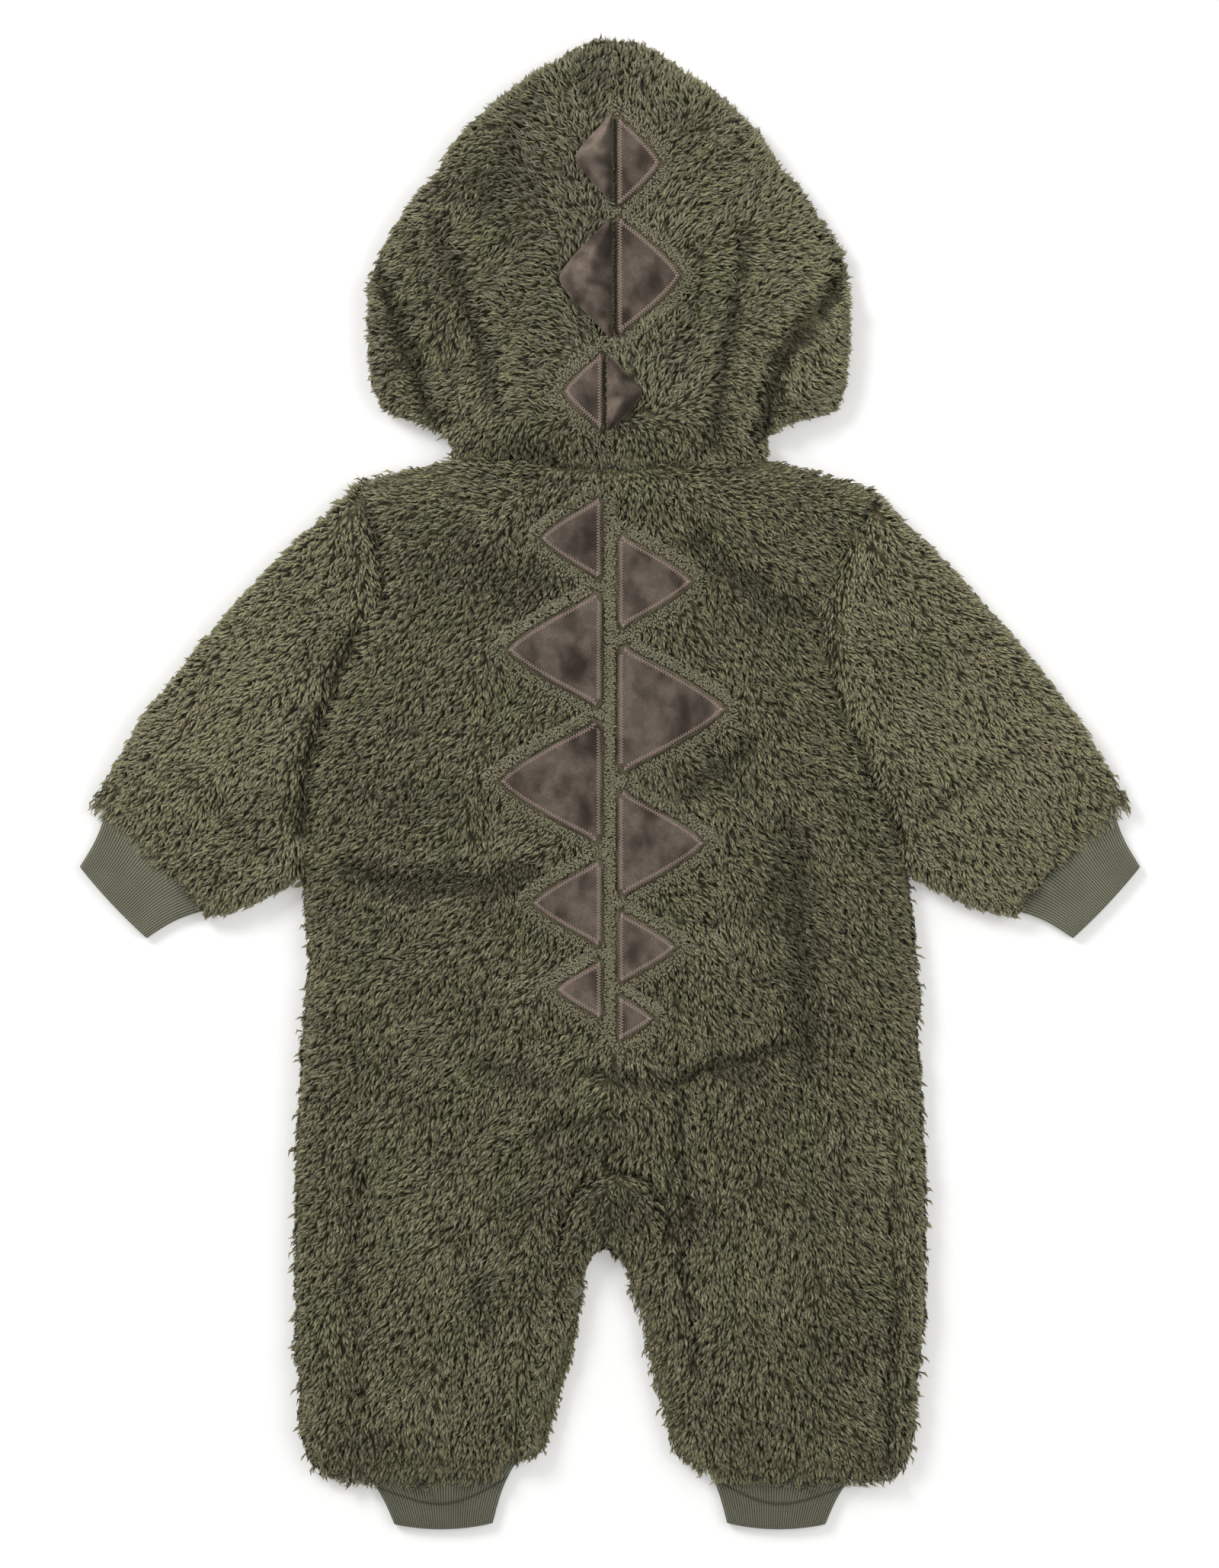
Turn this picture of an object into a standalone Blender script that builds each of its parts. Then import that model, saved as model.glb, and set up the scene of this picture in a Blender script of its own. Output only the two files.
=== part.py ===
"""A baby's hooded one-piece coverall in long-pile fleece, laid flat with its back up.

The body lies as two layers, back over front, with flattened sleeves, legs and hood.
Each piece that a maker cuts is one closed wall, sewn edge to edge with a fine gap.
Sizes are in millimetres, with y counted up from the hem of the ankle cuffs, until
place() turns them into metres round the middle of the whole garment.
"""

import math

import bmesh
import bpy
from mathutils import Vector
from mathutils.bvhtree import BVHTree

# Driving dimensions of the whole garment
LENGTH = 723.0  # from the ankle cuffs' hem to the hood's peak
PILE_WALL = 7.5  # knitted backing and pile of one layer of fleece
SEAM_GAP = 0.3  # between two pieces that are sewn together
BACK_FLOOR = PILE_WALL + SEAM_GAP  # underside of the upper layer
BACK_TOP = 15.8  # upper side of the upper layer near its edges
BODY_CROWN = 1.7  # how much higher the middle of a wide panel lies
RIM_TOP = 8.9  # the upper layer's edge all round
RIM_UNDER = 6.4  # the under layer's edge all round
TOP_ROUND = 9.0  # how far in from the edge the upper layer is rounded
UNDER_ROUND = 6.0  # the same for the under layer
SEAM_DIP = 3.0  # how deep a sewn seam draws the pile in
SEAM_DIP_WIDTH = 5.0
RIPPLE = 0.6  # small unevenness of the laid cloth
CROWN_WIDTH = 45.0  # how far in from its edge a panel reaches its full height
FOLD_FADE = 14.0  # how far in from an edge the folds reach their full height

# The upper body, a row for each height: side edges of the back, in the armholes above 320
TORSO_ROWS = (
    # y, left, right
    (496, -117.5, 125.0),
    (476, -112.5, 109.5),
    (456, -110.2, 103.5),
    (438, -119.0, 101.6),
    (420, -128.5, 102.8),
    (400, -136.5, 109.5),
    (385, -141.5, 123.5),
    (370, -145.0, 126.7),
    (350, -147.0, 135.4),
    (334, -147.6, 139.5),
    (320, -148.0, 143.0),
    (300, -146.5, 145.5),
    (280, -145.0, 147.0),
    (260, -146.5, 149.5),
    (240, -148.5, 148.5),
    (220, -149.5, 150.0),
    (200, -150.5, 150.5),
    (188, -151.0, 151.0),
)
LEFT_SHOULDER = (-119.0, 509.0)
RIGHT_SHOULDER = (126.0, 505.0)
UNDERARM_ROW = 10  # the last of the rows in the armholes

# The legs, a row for each height: outer edges, and the back's and front's inner edges
LEG_ROWS = (
    # y, outer left, outer right, back left, back right, front left, front right
    (178, -151.5, 151.5, 2.0, 6.0, -14.3, 14.3),
    (173, -151.5, 152.0, -10.3, 17.8, -14.3, 14.3),
    (164, -151.5, 152.0, -22.0, 24.0, -20.0, 20.0),
    (150, -152.0, 152.5, -25.0, 25.3, -25.0, 24.0),
    (136, -152.0, 152.0, -27.0, 19.3, -27.0, 22.0),
    (122, -152.0, 152.0, -28.0, 14.3, -28.0, 14.3),
    (119, -151.5, 152.0, -28.3, 9.8, -28.3, 9.8),
    (105, -151.5, 152.5, -30.0, 16.0, -30.0, 16.0),
    (88, -152.0, 150.0, -33.2, 18.5, -33.2, 18.5),
    (70, -149.5, 148.0, -37.0, 23.5, -37.0, 23.5),
    (55, -150.0, 147.5, -39.6, 27.5, -39.6, 27.5),
    (42, -148.0, 146.5, -42.5, 30.5, -42.5, 30.5),
)
HEM_ROW = (26.0, -144.5, 143.5, -45.5, 37.0)  # y, outer and inner edges of both legs
HEM_LIFT = 8.0  # how much higher a leg's hem lies at its sides
CENTRE_X = 4.0  # middle of the back, where the crotch arch has its top
FRONT_ARCH_TOP = 172.0

# Shares of a half back's and of a front's width where their columns of points lie
HALF_COLUMNS = (0.0, 0.018, 0.05, 0.12, 0.24, 0.38, 0.52, 0.62, 0.71, 0.8, 0.9, 1.0)
FRONT_COLUMNS = (0.0, 0.02, 0.05, 0.2, 0.55, 1.0)
HEM_SHARES = (0.0, 0.1, 0.3, 0.7, 1.0)

# The sleeve's outline, on the wearer's left: its upper and its lower edge
SLEEVE_UPPER = (
    # x, y
    (-146, 488),
    (-177, 456),
    (-204, 424),
    (-230, 392),
    (-249, 357),
)
SLEEVE_LOWER = (
    # x, y
    (-159, 312),
    (-173, 304.5),
    (-184, 301),
    (-195, 299),
)
SLEEVE_STATIONS = (0.0, 0.08, 0.22, 0.4, 0.58, 0.76, 0.91, 1.0)
EDGE_STEPS = (0.0, 2.0, 5.5)  # outer points beside a folded edge
SLIT_STEPS = (6.4, 7.4, 8.4)  # the inner points that go with them

# The hood: half widths at each height, and how high its upper layer lies in the middle
HOOD_ROWS = (
    # y, left, right, middle height, face edge
    (526, 76.5, 76.0, 14.5, 12.0),
    (534, 79.5, 76.5, 16.5, 12.0),
    (539, 94.0, 90.0, 18.0, 12.0),
    (545, 109.0, 110.0, 19.0, 12.0),
    (556, 115.5, 114.0, 19.0, 12.0),
    (572, 117.0, 116.0, 19.0, 12.0),
    (590, 117.2, 116.0, 19.0, 12.0),
    (606, 116.8, 115.0, 19.0, 12.0),
    (620, 111.5, 113.0, 19.0, 11.0),
    (634, 105.0, 104.0, 19.0, 6.0),
    (648, 95.0, 95.0, 19.0, 0.15),
    (662, 83.0, 82.5, 19.0, 0.15),
    (676, 75.5, 74.5, 19.0, 0.15),
    (688, 62.0, 62.5, 18.6, 0.15),
    (698, 51.0, 52.0, 17.8, 0.15),
    (708, 36.0, 36.0, 16.8, 0.15),
    (717, 21.0, 24.0, 15.4, 0.15),
    (723, 9.0, 12.0, 12.5, 0.15),
)
HOOD_SPREAD = (0.0, 0.14, 0.28, 0.42, 0.56, 0.7, 0.83, 0.93, 0.98, 1.0)
HOOD_RETURN = (1.0, 0.98, 0.93, 0.7, 0.35, 0.0)  # the turned-under side, from the edge in
NECK_HALF = 76.0
NECK_Y = 517.0
NECK_RISE = 4.0  # how much higher the neck seam lies at its ends
NECK_LEVEL = 14.0  # half width of its level middle
HOOD_FLAT_HALF = 40.0  # level strip down the middle, where the fins and patches are sewn
HOOD_FLAT_Z = 19.0
HOOD_HALF = 117.0
HOOD_SIDE_Z = 16.4  # top of the hood beside its edges
HOOD_NECK_Z = 12.8  # top of the hood in the neck seam
HOOD_NECK_INSET = 0.5
FACE_HALF = 12.0  # half width of the face opening, which lies underneath

# Main folds of the laid cloth: troughs have a negative height
BODY_FOLDS = (
    # x0, y0, x1, y1, width, height
    (-14, 222, 35, 224, 8, -2.6),
    (35, 224, 78, 238, 8, -2.6),
    (-10, 210, 60, 212, 12, 1.4),
    (43, 196, 44, 96, 8, -2.0),
    (-120, 174, -121, 60, 8, -2.2),
    (134, 212, 134, 32, 6, -3.0),
    (-90, 300, -60, 262, 14, 1.2),
    (92, 330, 118, 290, 12, -1.8),
    (-128, 300, -96, 330, 10, -1.8),
    (-205, 372, -168, 330, 10, -1.8),
    (-176, 420, -140, 388, 12, 1.4),
    (196, 382, 152, 352, 10, -2.0),
    (168, 438, 132, 404, 12, 1.4),
    (-80, 150, -76, 90, 14, 1.3),
    (90, 150, 96, 80, 14, 1.3),
)
HOOD_FOLDS = (
    # x0, y0, x1, y1, width, height
    (-105, 612, -90, 542, 8, -3.6),
    (-76, 642, -62, 592, 9, -1.8),
    (-62, 592, -54, 566, 9, -1.8),
    (106, 612, 90, 576, 8, -4.2),
    (90, 576, 74, 545, 8, -4.2),
    (-96, 600, -76, 556, 10, 2.0),
    (96, 600, 78, 590, 12, 2.2),
    (64, 640, 60, 580, 12, 1.2),
)

# The ridge of velvet plates on the back: plain rounded triangles in two staggered rows
PLATE_ROWS = (
    # side, y low, y high, reach
    (-1, 462, 502, 30),
    (1, 438, 484, 36),
    (-1, 400, 456, 46),
    (1, 368, 430, 52),
    (-1, 334, 394, 50),
    (1, 308, 360, 42),
    (-1, 284, 326, 34),
    (1, 266, 301, 28),
    (-1, 249, 277, 22),
    (1, 238, 260, 17),
)
CENTRE_SEAM = 0.0  # x of the ridge of plates and of the hood's seam
PLATE_BASE = 4.0  # from the middle of the back to a plate's straight edge
PATCH_BASE = 3.5
FIN_BASE = -2.5  # a fin reaches over the hood's centre seam
FIN_RINGS = ((0.92, 0.0), (1.0, 0.32), (0.86, 0.74), (0.52, 0.97))  # scale, share of height
TOOTH_SHARES = (0.25, 0.5, 0.75, 0.92)  # of a plate's reach, where its slanting edges have points
PLATE_BEVEL = 1.6
GROUND_SCALES = (0.0, 0.25, 0.5, 0.75, 0.9, 1.0)
GROUND_SHARES = (0.0, 0.25, 0.5, 0.75)
PLATE_THICK = 1.6
PLATE_RIM = 1.1  # a plate's edge, drawn down by its stitching
SPINE_Z = 12.8  # the back under the plates, where the pile is combed short
SPINE_MARGIN = 11.0  # how far round the plates the combed pile reaches
SPINE_BLEND = 7.0
SPINE_REACH = 0.8  # share of a plate's reach that the combed pile follows
SPINE_HEIGHT = 0.45  # share of its height, up and down from its middle
SPINE_OTHER_SIDE = 2.0
HOOD_PATCHES = (
    # side, y low, y high, reach
    (1, 642, 686, 21),
    (1, 580, 638, 31),
    (-1, 534, 572, 19),
)
HOOD_FINS = (
    # side, y low, y high, reach, thickness
    (-1, 642, 690, 21, 8.0),
    (-1, 576, 640, 29, 9.0),
    (1, 531, 573, 20, 8.0),
)

# The inseam placket on the wearer's left leg
PLACKET_ROWS = (
    # y, seam, upper band's edge, under band's edge
    (122.0, -27.7, -18.0, -12.8),
    (105.0, -29.7, -19.3, -15.4),
    (88.0, -32.9, -23.8, -18.2),
    (70.0, -36.7, -30.2, -23.8),
    (55.0, -39.3, -33.8, -28.4),
    (42.0, -42.2, -37.2, -31.2),
    (36.0, -43.6, -39.0, -35.5),
)
UNDER_BAND_FOOT = 7.0  # how far the under band stands out beyond the seam at the hem
BAND_TOP = 2.0  # least thickness of the upper band
BAND_EDGE = 1.2  # thickness of its free edge
STUD_ROOM = 1.8  # the placket's bands lie this far apart round the press studs
FRONT_PLACKET_HALF = 14.0
FRONT_PLACKET_ROWS = (280.0, 400.0)
INSEAM_STUDS = ((-18.2, 117.0), (-25.5, 92.0), (-33.0, 66.0))
FRONT_STUDS = (196.0, 248.0, 300.0, 352.0, 404.0, 456.0, 500.0)
STUD_RADIUS = 4.5
STUD_THICK = 1.2
STUD_BEVEL = 0.5
STUD_SIDES = 10

# The crotch gusset's free edge, a row for each of its sections from foot to foot
NOTCH = (
    # x, y
    (-12.6, 123.0),
    (-11.2, 128.0),
    (-9.0, 131.5),
    (-6.8, 134.5),
    (-4.8, 136.6),
    (-3.0, 137.5),
    (-1.5, 137.3),
    (0.5, 135.8),
    (3.0, 133.6),
    (5.8, 131.0),
    (8.0, 127.5),
    (9.2, 123.0),
)
GUSSET_FEET = ((-27.6, 123.0), (13.9, 123.0))
GUSSET_SHARES = (0.0, 0.3, 0.6, 0.85, 1.0)  # from a seam to the fold, for the outer points
GUSSET_SLIT = (0.0, 0.15, 0.3, 0.45, 0.6)  # the same for the points inside the fold
FRONT_ARCH_HALF = 5.0

# The rib-knit cuffs
CUFF_WALL = 3.0  # knitted double
CUFF_TOP = 6.4
CUFF_LIFT = 2.4  # how much higher the cuff lies at its seam
RIB_HEIGHT = 0.45
RIB_PITCH = 1.35
WRIST_SHARES = (0.08, 0.96)  # of the sleeve's hem, where the cuff starts and ends
WRIST_FAR = ((258.2, 322.5), (225.5, 287.7))
WRIST_SLANT = 0.95  # how much the sleeve falls for each step outwards
WRIST_SAG = 1.0  # how far the middle of a cuff's hem hangs beyond its corners
ANKLE_NEAR = (119.0, 44.5)
ANKLE_FAR = ((105.0, 2.4), (57.0, 3.0))
ANKLE_SAG = 2.7
CUFF_EDGE = 0.9  # half thickness of a cuff's side edges, from its middle
CUFF_SLIT = 0.15  # half thickness of the slit inside it
CUFF_SLIT_END = 0.07  # share of the width between the slit and a side edge
CUFF_HEM = 0.62  # share of the full height at the hem fold
TOP_CURVE = 4.0
UNDER_CURVE = 3.0
CUFF_SPREAD = (0.0, 0.06, 0.3, 0.5, 0.7, 0.94, 1.0)
CUFF_DEPTHS = (0.0, 0.45, 0.94, 1.0)


def place(x, y, z):
    """A point of the garment, in metres round its middle."""
    return Vector((x, y - LENGTH / 2, z)) * 0.001


def cloth(name, colour, roughness):
    material = bpy.data.materials.new(name)
    material.use_nodes = True
    shader = material.node_tree.nodes["Principled BSDF"]
    shader.inputs["Base Color"].default_value = (*colour, 1.0)
    shader.inputs["Roughness"].default_value = roughness
    shader.inputs["Metallic"].default_value = 0.0
    return material


def solid(name, bm, material):
    """Makes the closed mesh a named object whose faces point outwards."""
    bmesh.ops.recalc_face_normals(bm, faces=bm.faces)
    mesh = bpy.data.meshes.new(name)
    bm.to_mesh(mesh)
    bm.free()
    mesh.shade_smooth()
    mesh.set_sharp_from_angle(angle=math.radians(40))
    mesh.materials.append(material)
    piece = bpy.data.objects.new(name, mesh)
    bpy.context.scene.collection.objects.link(piece)
    return piece


def wall(name, outer, inner, material, tube=False, open_cell=None):
    """A wall between two grids of points, with its edges closed.

    A tube's rows close on themselves. open_cell(row, column) says where it has none.
    """
    bm = bmesh.new()
    number = bm.verts.layers.int.new("number")
    grid = [[bm.verts.new(place(*point)) for point in row] for row in outer]
    targets = [place(*point) for row in inner for point in row]
    width = len(outer[0])
    for index, vertex in enumerate(vertex for row in grid for vertex in row):
        vertex[number] = index
    for r in range(len(grid) - 1):
        for c in range(width if tube else width - 1):
            if open_cell and open_cell(r, c):
                continue
            d = (c + 1) % width
            bm.faces.new((grid[r][c], grid[r][d], grid[r + 1][d], grid[r + 1][c]))
    made = bmesh.ops.extrude_face_region(bm, geom=bm.faces[:], use_keep_orig=True)
    for vertex in made["geom"]:
        if isinstance(vertex, bmesh.types.BMVert):
            vertex.co = targets[vertex[number]]
    bmesh.ops.triangulate(bm, faces=bm.faces, quad_method="FIXED")
    return solid(name, bm, material)


def rise(distance, radius):
    """Share of the full height at this distance inside a rounded edge."""
    inside = min(max(distance / radius, 0.0), 1.0)
    return math.sqrt(1.0 - (1.0 - inside) ** 2)


def smooth(share):
    share = min(max(share, 0.0), 1.0)
    return share * share * (3.0 - 2.0 * share)


def lerp_one(a, b, share):
    return a + (b - a) * share


def lerp(a, b, share):
    return tuple(p + (q - p) * share for p, q in zip(a, b))


def segment_distance(x, y, x0, y0, x1, y1):
    along = ((x - x0) * (x1 - x0) + (y - y0) * (y1 - y0)) / ((x1 - x0) ** 2 + (y1 - y0) ** 2)
    along = min(max(along, 0.0), 1.0)
    return math.hypot(x - x0 - along * (x1 - x0), y - y0 - along * (y1 - y0))


def line_distance(x, y, points):
    return min(segment_distance(x, y, *a, *b) for a, b in zip(points, points[1:]))


def folds_at(x, y, folds):
    """Sum of the main folds and a slow ripple of the cloth."""
    height = RIPPLE * math.sin(x / 23.0 + 1.3 * math.sin(y / 37.0)) * math.cos(y / 41.0 + x / 90.0)
    for x0, y0, x1, y1, width, tall in folds:
        height += tall * math.exp(-((segment_distance(x, y, x0, y0, x1, y1) / width) ** 2))
    return height


def along_line(points, share):
    """The point at this share of a line's length."""
    lengths = [math.dist(a, b) for a, b in zip(points, points[1:])]
    left = share * sum(lengths)
    for a, b, length in zip(points, points[1:], lengths):
        if left <= length:
            return lerp(a, b, left / length)
        left -= length
    return points[-1]


def neck_line(x, shoulder):
    """Height of the neck seam and of the shoulder beside it."""
    if abs(x) <= NECK_HALF:
        return NECK_Y + NECK_RISE * max(abs(x) - NECK_LEVEL, 0.0) / (NECK_HALF - NECK_LEVEL)
    share = (abs(x) - NECK_HALF) / (abs(shoulder[0]) - NECK_HALF)
    return NECK_Y + NECK_RISE + (shoulder[1] - NECK_Y - NECK_RISE) * share


def hem_line(x, outer, inner):
    """Height of a leg's hem, which curves up at its sides."""
    middle = (outer + inner) / 2
    return HEM_ROW[0] + HEM_LIFT * abs((x - middle) / (outer - middle)) ** 4


def mirrored(points):
    return [(-x, y) for x, y in points]


def armhole(side):
    """The armhole's points, from the shoulder down to the underarm."""
    shoulder = LEFT_SHOULDER if side < 0 else RIGHT_SHOULDER
    column = 1 if side < 0 else 2
    return [shoulder] + [(row[column], row[0]) for row in TORSO_ROWS[: UNDERARM_ROW + 1]]


def sleeve_edges(side):
    """The sleeve's upper and lower edges, from the armhole to the hem."""
    hole = armhole(side)
    upper = SLEEVE_UPPER if side < 0 else mirrored(SLEEVE_UPPER)
    lower = SLEEVE_LOWER if side < 0 else mirrored(SLEEVE_LOWER)
    return [hole[0], *upper], [hole[-1], *lower]


def body_outline():
    """The free edges of the body, sleeves and legs, from neck to neck."""
    y, outer_left, outer_right, inner_left, inner_right = HEM_ROW
    lines = []
    for side, column in ((-1, 1), (1, 2)):
        upper, lower = sleeve_edges(side)
        sides = [(row[column], row[0]) for row in TORSO_ROWS[UNDERARM_ROW:] + LEG_ROWS]
        outer = outer_left if side < 0 else outer_right
        inner = inner_left if side < 0 else inner_right
        hem = [lerp_one(outer, inner, u) for u in HEM_SHARES]
        hem = [(x, hem_line(x, outer, inner)) for x in hem]
        lines.append([(side * NECK_HALF, NECK_Y + NECK_RISE), *upper])
        lines.append([*lower[::-1], *sides[1:], *hem])
        lines.append([upper[-1], lower[-1]])
    left = [(row[3], row[0]) for row in PLACKET_ROWS[1:]]
    left.append((inner_left + UNDER_BAND_FOOT, y + HEM_LIFT))
    right = [(row[4], row[0]) for row in LEG_ROWS[6:]] + [(inner_right, y + HEM_LIFT)]
    lines.append([*left[::-1], *NOTCH, *right])
    return lines


OUTLINE = body_outline()
SEAMS = [armhole(-1), armhole(1)]


def spine_depth(x, y):
    """1 where the plates lie, falling to 0 in the long pile round them."""
    nearest = 1e9
    for side, low, high, reach in PLATE_ROWS:
        middle = (low + high) / 2
        dx = max(0.0, side * x - PLATE_BASE - reach * SPINE_REACH, -side * x - SPINE_OTHER_SIDE)
        dy = max(0.0, abs(y - middle) - (high - low) * SPINE_HEIGHT)
        nearest = min(nearest, math.hypot(dx, dy))
    return 1.0 - smooth((nearest - SPINE_MARGIN) / SPINE_BLEND)


def body_top(x, y):
    """Height of the upper side of the back, sleeves and gusset."""
    inside = min(line_distance(x, y, line) for line in OUTLINE)
    height = RIM_TOP + (BACK_TOP - RIM_TOP) * rise(inside, TOP_ROUND)
    crown = BODY_CROWN * smooth(inside / CROWN_WIDTH)
    height += (crown + folds_at(x, y, BODY_FOLDS)) * smooth(inside / FOLD_FADE)
    seam = min(line_distance(x, y, line) for line in SEAMS)
    seam = min(seam, abs(y - neck_line(x, LEFT_SHOULDER)) if abs(x) < NECK_HALF else 99.0)
    height -= SEAM_DIP * math.exp(-((seam / SEAM_DIP_WIDTH) ** 2)) * rise(inside, TOP_ROUND)
    return max(lerp_one(height, SPINE_Z, spine_depth(x, y)), RIM_TOP)


def body_under(x, y):
    """Height of the underside of the fronts and sleeves, 0 where they rest."""
    inside = min(line_distance(x, y, line) for line in OUTLINE)
    return RIM_UNDER * (1.0 - rise(inside, UNDER_ROUND))


def lining_of(top):
    """Height of the backing's inner face under an upper layer of this height."""
    return max(BACK_FLOOR, top - PILE_WALL - SEAM_GAP)


def back_rows():
    """For each row of the back: its points, from left to right."""
    spans = []
    for y, left, right in TORSO_ROWS:
        spans.append((y, left, CENTRE_X - 2.0, CENTRE_X + 2.0, right))
    for y, outer_left, outer_right, back_left, back_right, _, _ in LEG_ROWS:
        spans.append((y, outer_left, back_left, back_right, outer_right))
    rows = []
    top = [lerp_one(LEFT_SHOULDER[0], CENTRE_X - 2.0, u) for u in HALF_COLUMNS]
    top += [lerp_one(RIGHT_SHOULDER[0], CENTRE_X + 2.0, u) for u in reversed(HALF_COLUMNS)]
    rows.append([(x, neck_line(x, LEFT_SHOULDER if x < 0 else RIGHT_SHOULDER)) for x in top])
    for y, left, inner_left, inner_right, right in spans:
        row = [(lerp_one(left, inner_left, u), y) for u in HALF_COLUMNS]
        row += [(lerp_one(right, inner_right, u), y) for u in reversed(HALF_COLUMNS)]
        rows.append(row)
    y, outer_left, outer_right, inner_left, inner_right = HEM_ROW
    row = [lerp_one(outer_left, inner_left, u) for u in HALF_COLUMNS]
    row = [(x, hem_line(x, outer_left, inner_left)) for x in row]
    right = [lerp_one(outer_right, inner_right, u) for u in reversed(HALF_COLUMNS)]
    rows.append(row + [(x, hem_line(x, outer_right, inner_right)) for x in right])
    return rows


def inset_armholes(rows):
    """Leaves half the seam gap beside the sleeves."""
    for row in rows[: UNDERARM_ROW + 2]:
        row[0] = (row[0][0] + SEAM_GAP / 2, row[0][1])
        row[-1] = (row[-1][0] - SEAM_GAP / 2, row[-1][1])
    return rows


def back_panel(material):
    """The back and both legs' backs, cut in one, with the crotch arch left open."""
    rows = inset_armholes(back_rows())
    outer = [[(x, y, body_top(x, y)) for x, y in row] for row in rows]
    inner = [[(x, y, lining_of(z)) for x, y, z in row] for row in outer]
    arch_row = len(TORSO_ROWS) + 1
    middle = len(HALF_COLUMNS) - 1
    return wall("back_panel", outer, inner, material,
                open_cell=lambda r, c: c == middle and r >= arch_row)


def front_panel(side, material):
    """One front with its leg, from the placket at the centre front to the side seam."""
    shoulder = LEFT_SHOULDER if side < 0 else RIGHT_SHOULDER
    column = 1 if side < 0 else 2
    inner_column = 5 if side < 0 else 6
    near = side * (FRONT_PLACKET_HALF + SEAM_GAP)
    spans = [(row[0], row[column], near) for row in TORSO_ROWS]
    spans += [(row[0], row[column], row[inner_column]) for row in LEG_ROWS]
    hem_outer, hem_inner = (HEM_ROW[1], HEM_ROW[3]) if side < 0 else (HEM_ROW[2], HEM_ROW[4])
    rows = [[(x, neck_line(x, shoulder)) for x in
             (lerp_one(shoulder[0], near, u) for u in FRONT_COLUMNS)]]
    rows += [[(lerp_one(edge, inside, u), y) for u in FRONT_COLUMNS] for y, edge, inside in spans]
    rows.append([(x, hem_line(x, hem_outer, hem_inner)) for x in
                 (lerp_one(hem_outer, hem_inner, u) for u in FRONT_COLUMNS)])
    for row in rows[: UNDERARM_ROW + 2]:
        row[0] = (row[0][0] - side * SEAM_GAP / 2, row[0][1])
    outer = [[(x, y, body_under(x, y)) for x, y in row] for row in rows]
    inner = [[(x, y, PILE_WALL) for x, y in row] for row in rows]
    name = "front_left" if side < 0 else "front_right"
    return wall(name, outer, inner, material)


def sleeve(side, material):
    """A flattened tube from the armhole to the wrist, with its slit left open."""
    hole = armhole(side)
    upper, lower = sleeve_edges(side)
    length = sum(math.dist(a, b) for a, b in zip(hole, hole[1:]))
    marks = [0.0]
    for a, b in zip(hole, hole[1:]):
        marks.append(marks[-1] + math.dist(a, b) / length)
    shares = [step / length for step in EDGE_STEPS] + marks[1:-1]
    shares += [1.0 - step / length for step in reversed(EDGE_STEPS)]
    slits = [step / length for step in SLIT_STEPS] + marks[1:-1]
    slits += [1.0 - step / length for step in reversed(SLIT_STEPS)]

    def at(station, share):
        across = lerp(along_line(upper, station), along_line(lower, station), share)
        bulge = [p - q for p, q in zip(along_line(hole, share), lerp(hole[0], hole[-1], share))]
        x, y = (p + (1.0 - station) ** 1.5 * q for p, q in zip(across, bulge))
        return x + side * SEAM_GAP / 2, y

    outer, inner = [], []
    for station in SLEEVE_STATIONS:
        over = [at(station, share) for share in shares]
        slit = [at(station, share) for share in slits]
        ring = [(x, y, body_top(x, y)) for x, y in over]
        ring += [(x, y, body_under(x, y)) for x, y in reversed(over)]
        hollow = [(x, y, lining_of(body_top(x, y))) for x, y in slit]
        hollow += [(x, y, PILE_WALL) for x, y in reversed(slit)]
        outer.append(ring)
        inner.append(hollow)
    name = "sleeve_left" if side < 0 else "sleeve_right"
    return wall(name, outer, inner, material, tube=True)


def gusset(material):
    """The rounded crotch piece, folded over the crotch from the back to the front."""
    foot_y = GUSSET_FEET[0][1]
    left = [row for row in LEG_ROWS if foot_y < row[0]]
    back = [(row[3] + SEAM_GAP, row[0] - SEAM_GAP) for row in left]
    back += [(row[4] - SEAM_GAP, row[0] - SEAM_GAP) for row in reversed(left)]
    under = [row for row in LEG_ROWS if foot_y < row[0] < FRONT_ARCH_TOP]
    halves = (-FRONT_PLACKET_HALF, -FRONT_ARCH_HALF, FRONT_ARCH_HALF, FRONT_PLACKET_HALF)
    front = [(x, FRONT_ARCH_TOP - SEAM_GAP) for x in halves]
    front = [(row[5] + SEAM_GAP, row[0]) for row in reversed(under)] + front
    front += [(row[6] - SEAM_GAP, row[0]) for row in under]
    back = back[: len(left)][::-1] + back[len(left):][::-1]
    back = [GUSSET_FEET[0], *back, GUSSET_FEET[1]]
    front = [GUSSET_FEET[0], *front, GUSSET_FEET[1]]
    outer, inner = [], []
    for start, fold, end in zip(back, NOTCH, front):
        over = [lerp(start, fold, w) for w in GUSSET_SHARES]
        below = [lerp(end, fold, w) for w in reversed(GUSSET_SHARES)]
        slit_over = [lerp(start, fold, w) for w in GUSSET_SLIT]
        slit_below = [lerp(end, fold, w) for w in reversed(GUSSET_SLIT)]
        outer.append([(x, y, body_top(x, y)) for x, y in over]
                     + [(x, y, body_under(x, y)) for x, y in below])
        inner.append([(x, y, BACK_FLOOR) for x, y in slit_over]
                     + [(x, y, PILE_WALL) for x, y in slit_below])
    return wall("crotch_gusset", outer, inner, material)


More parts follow.
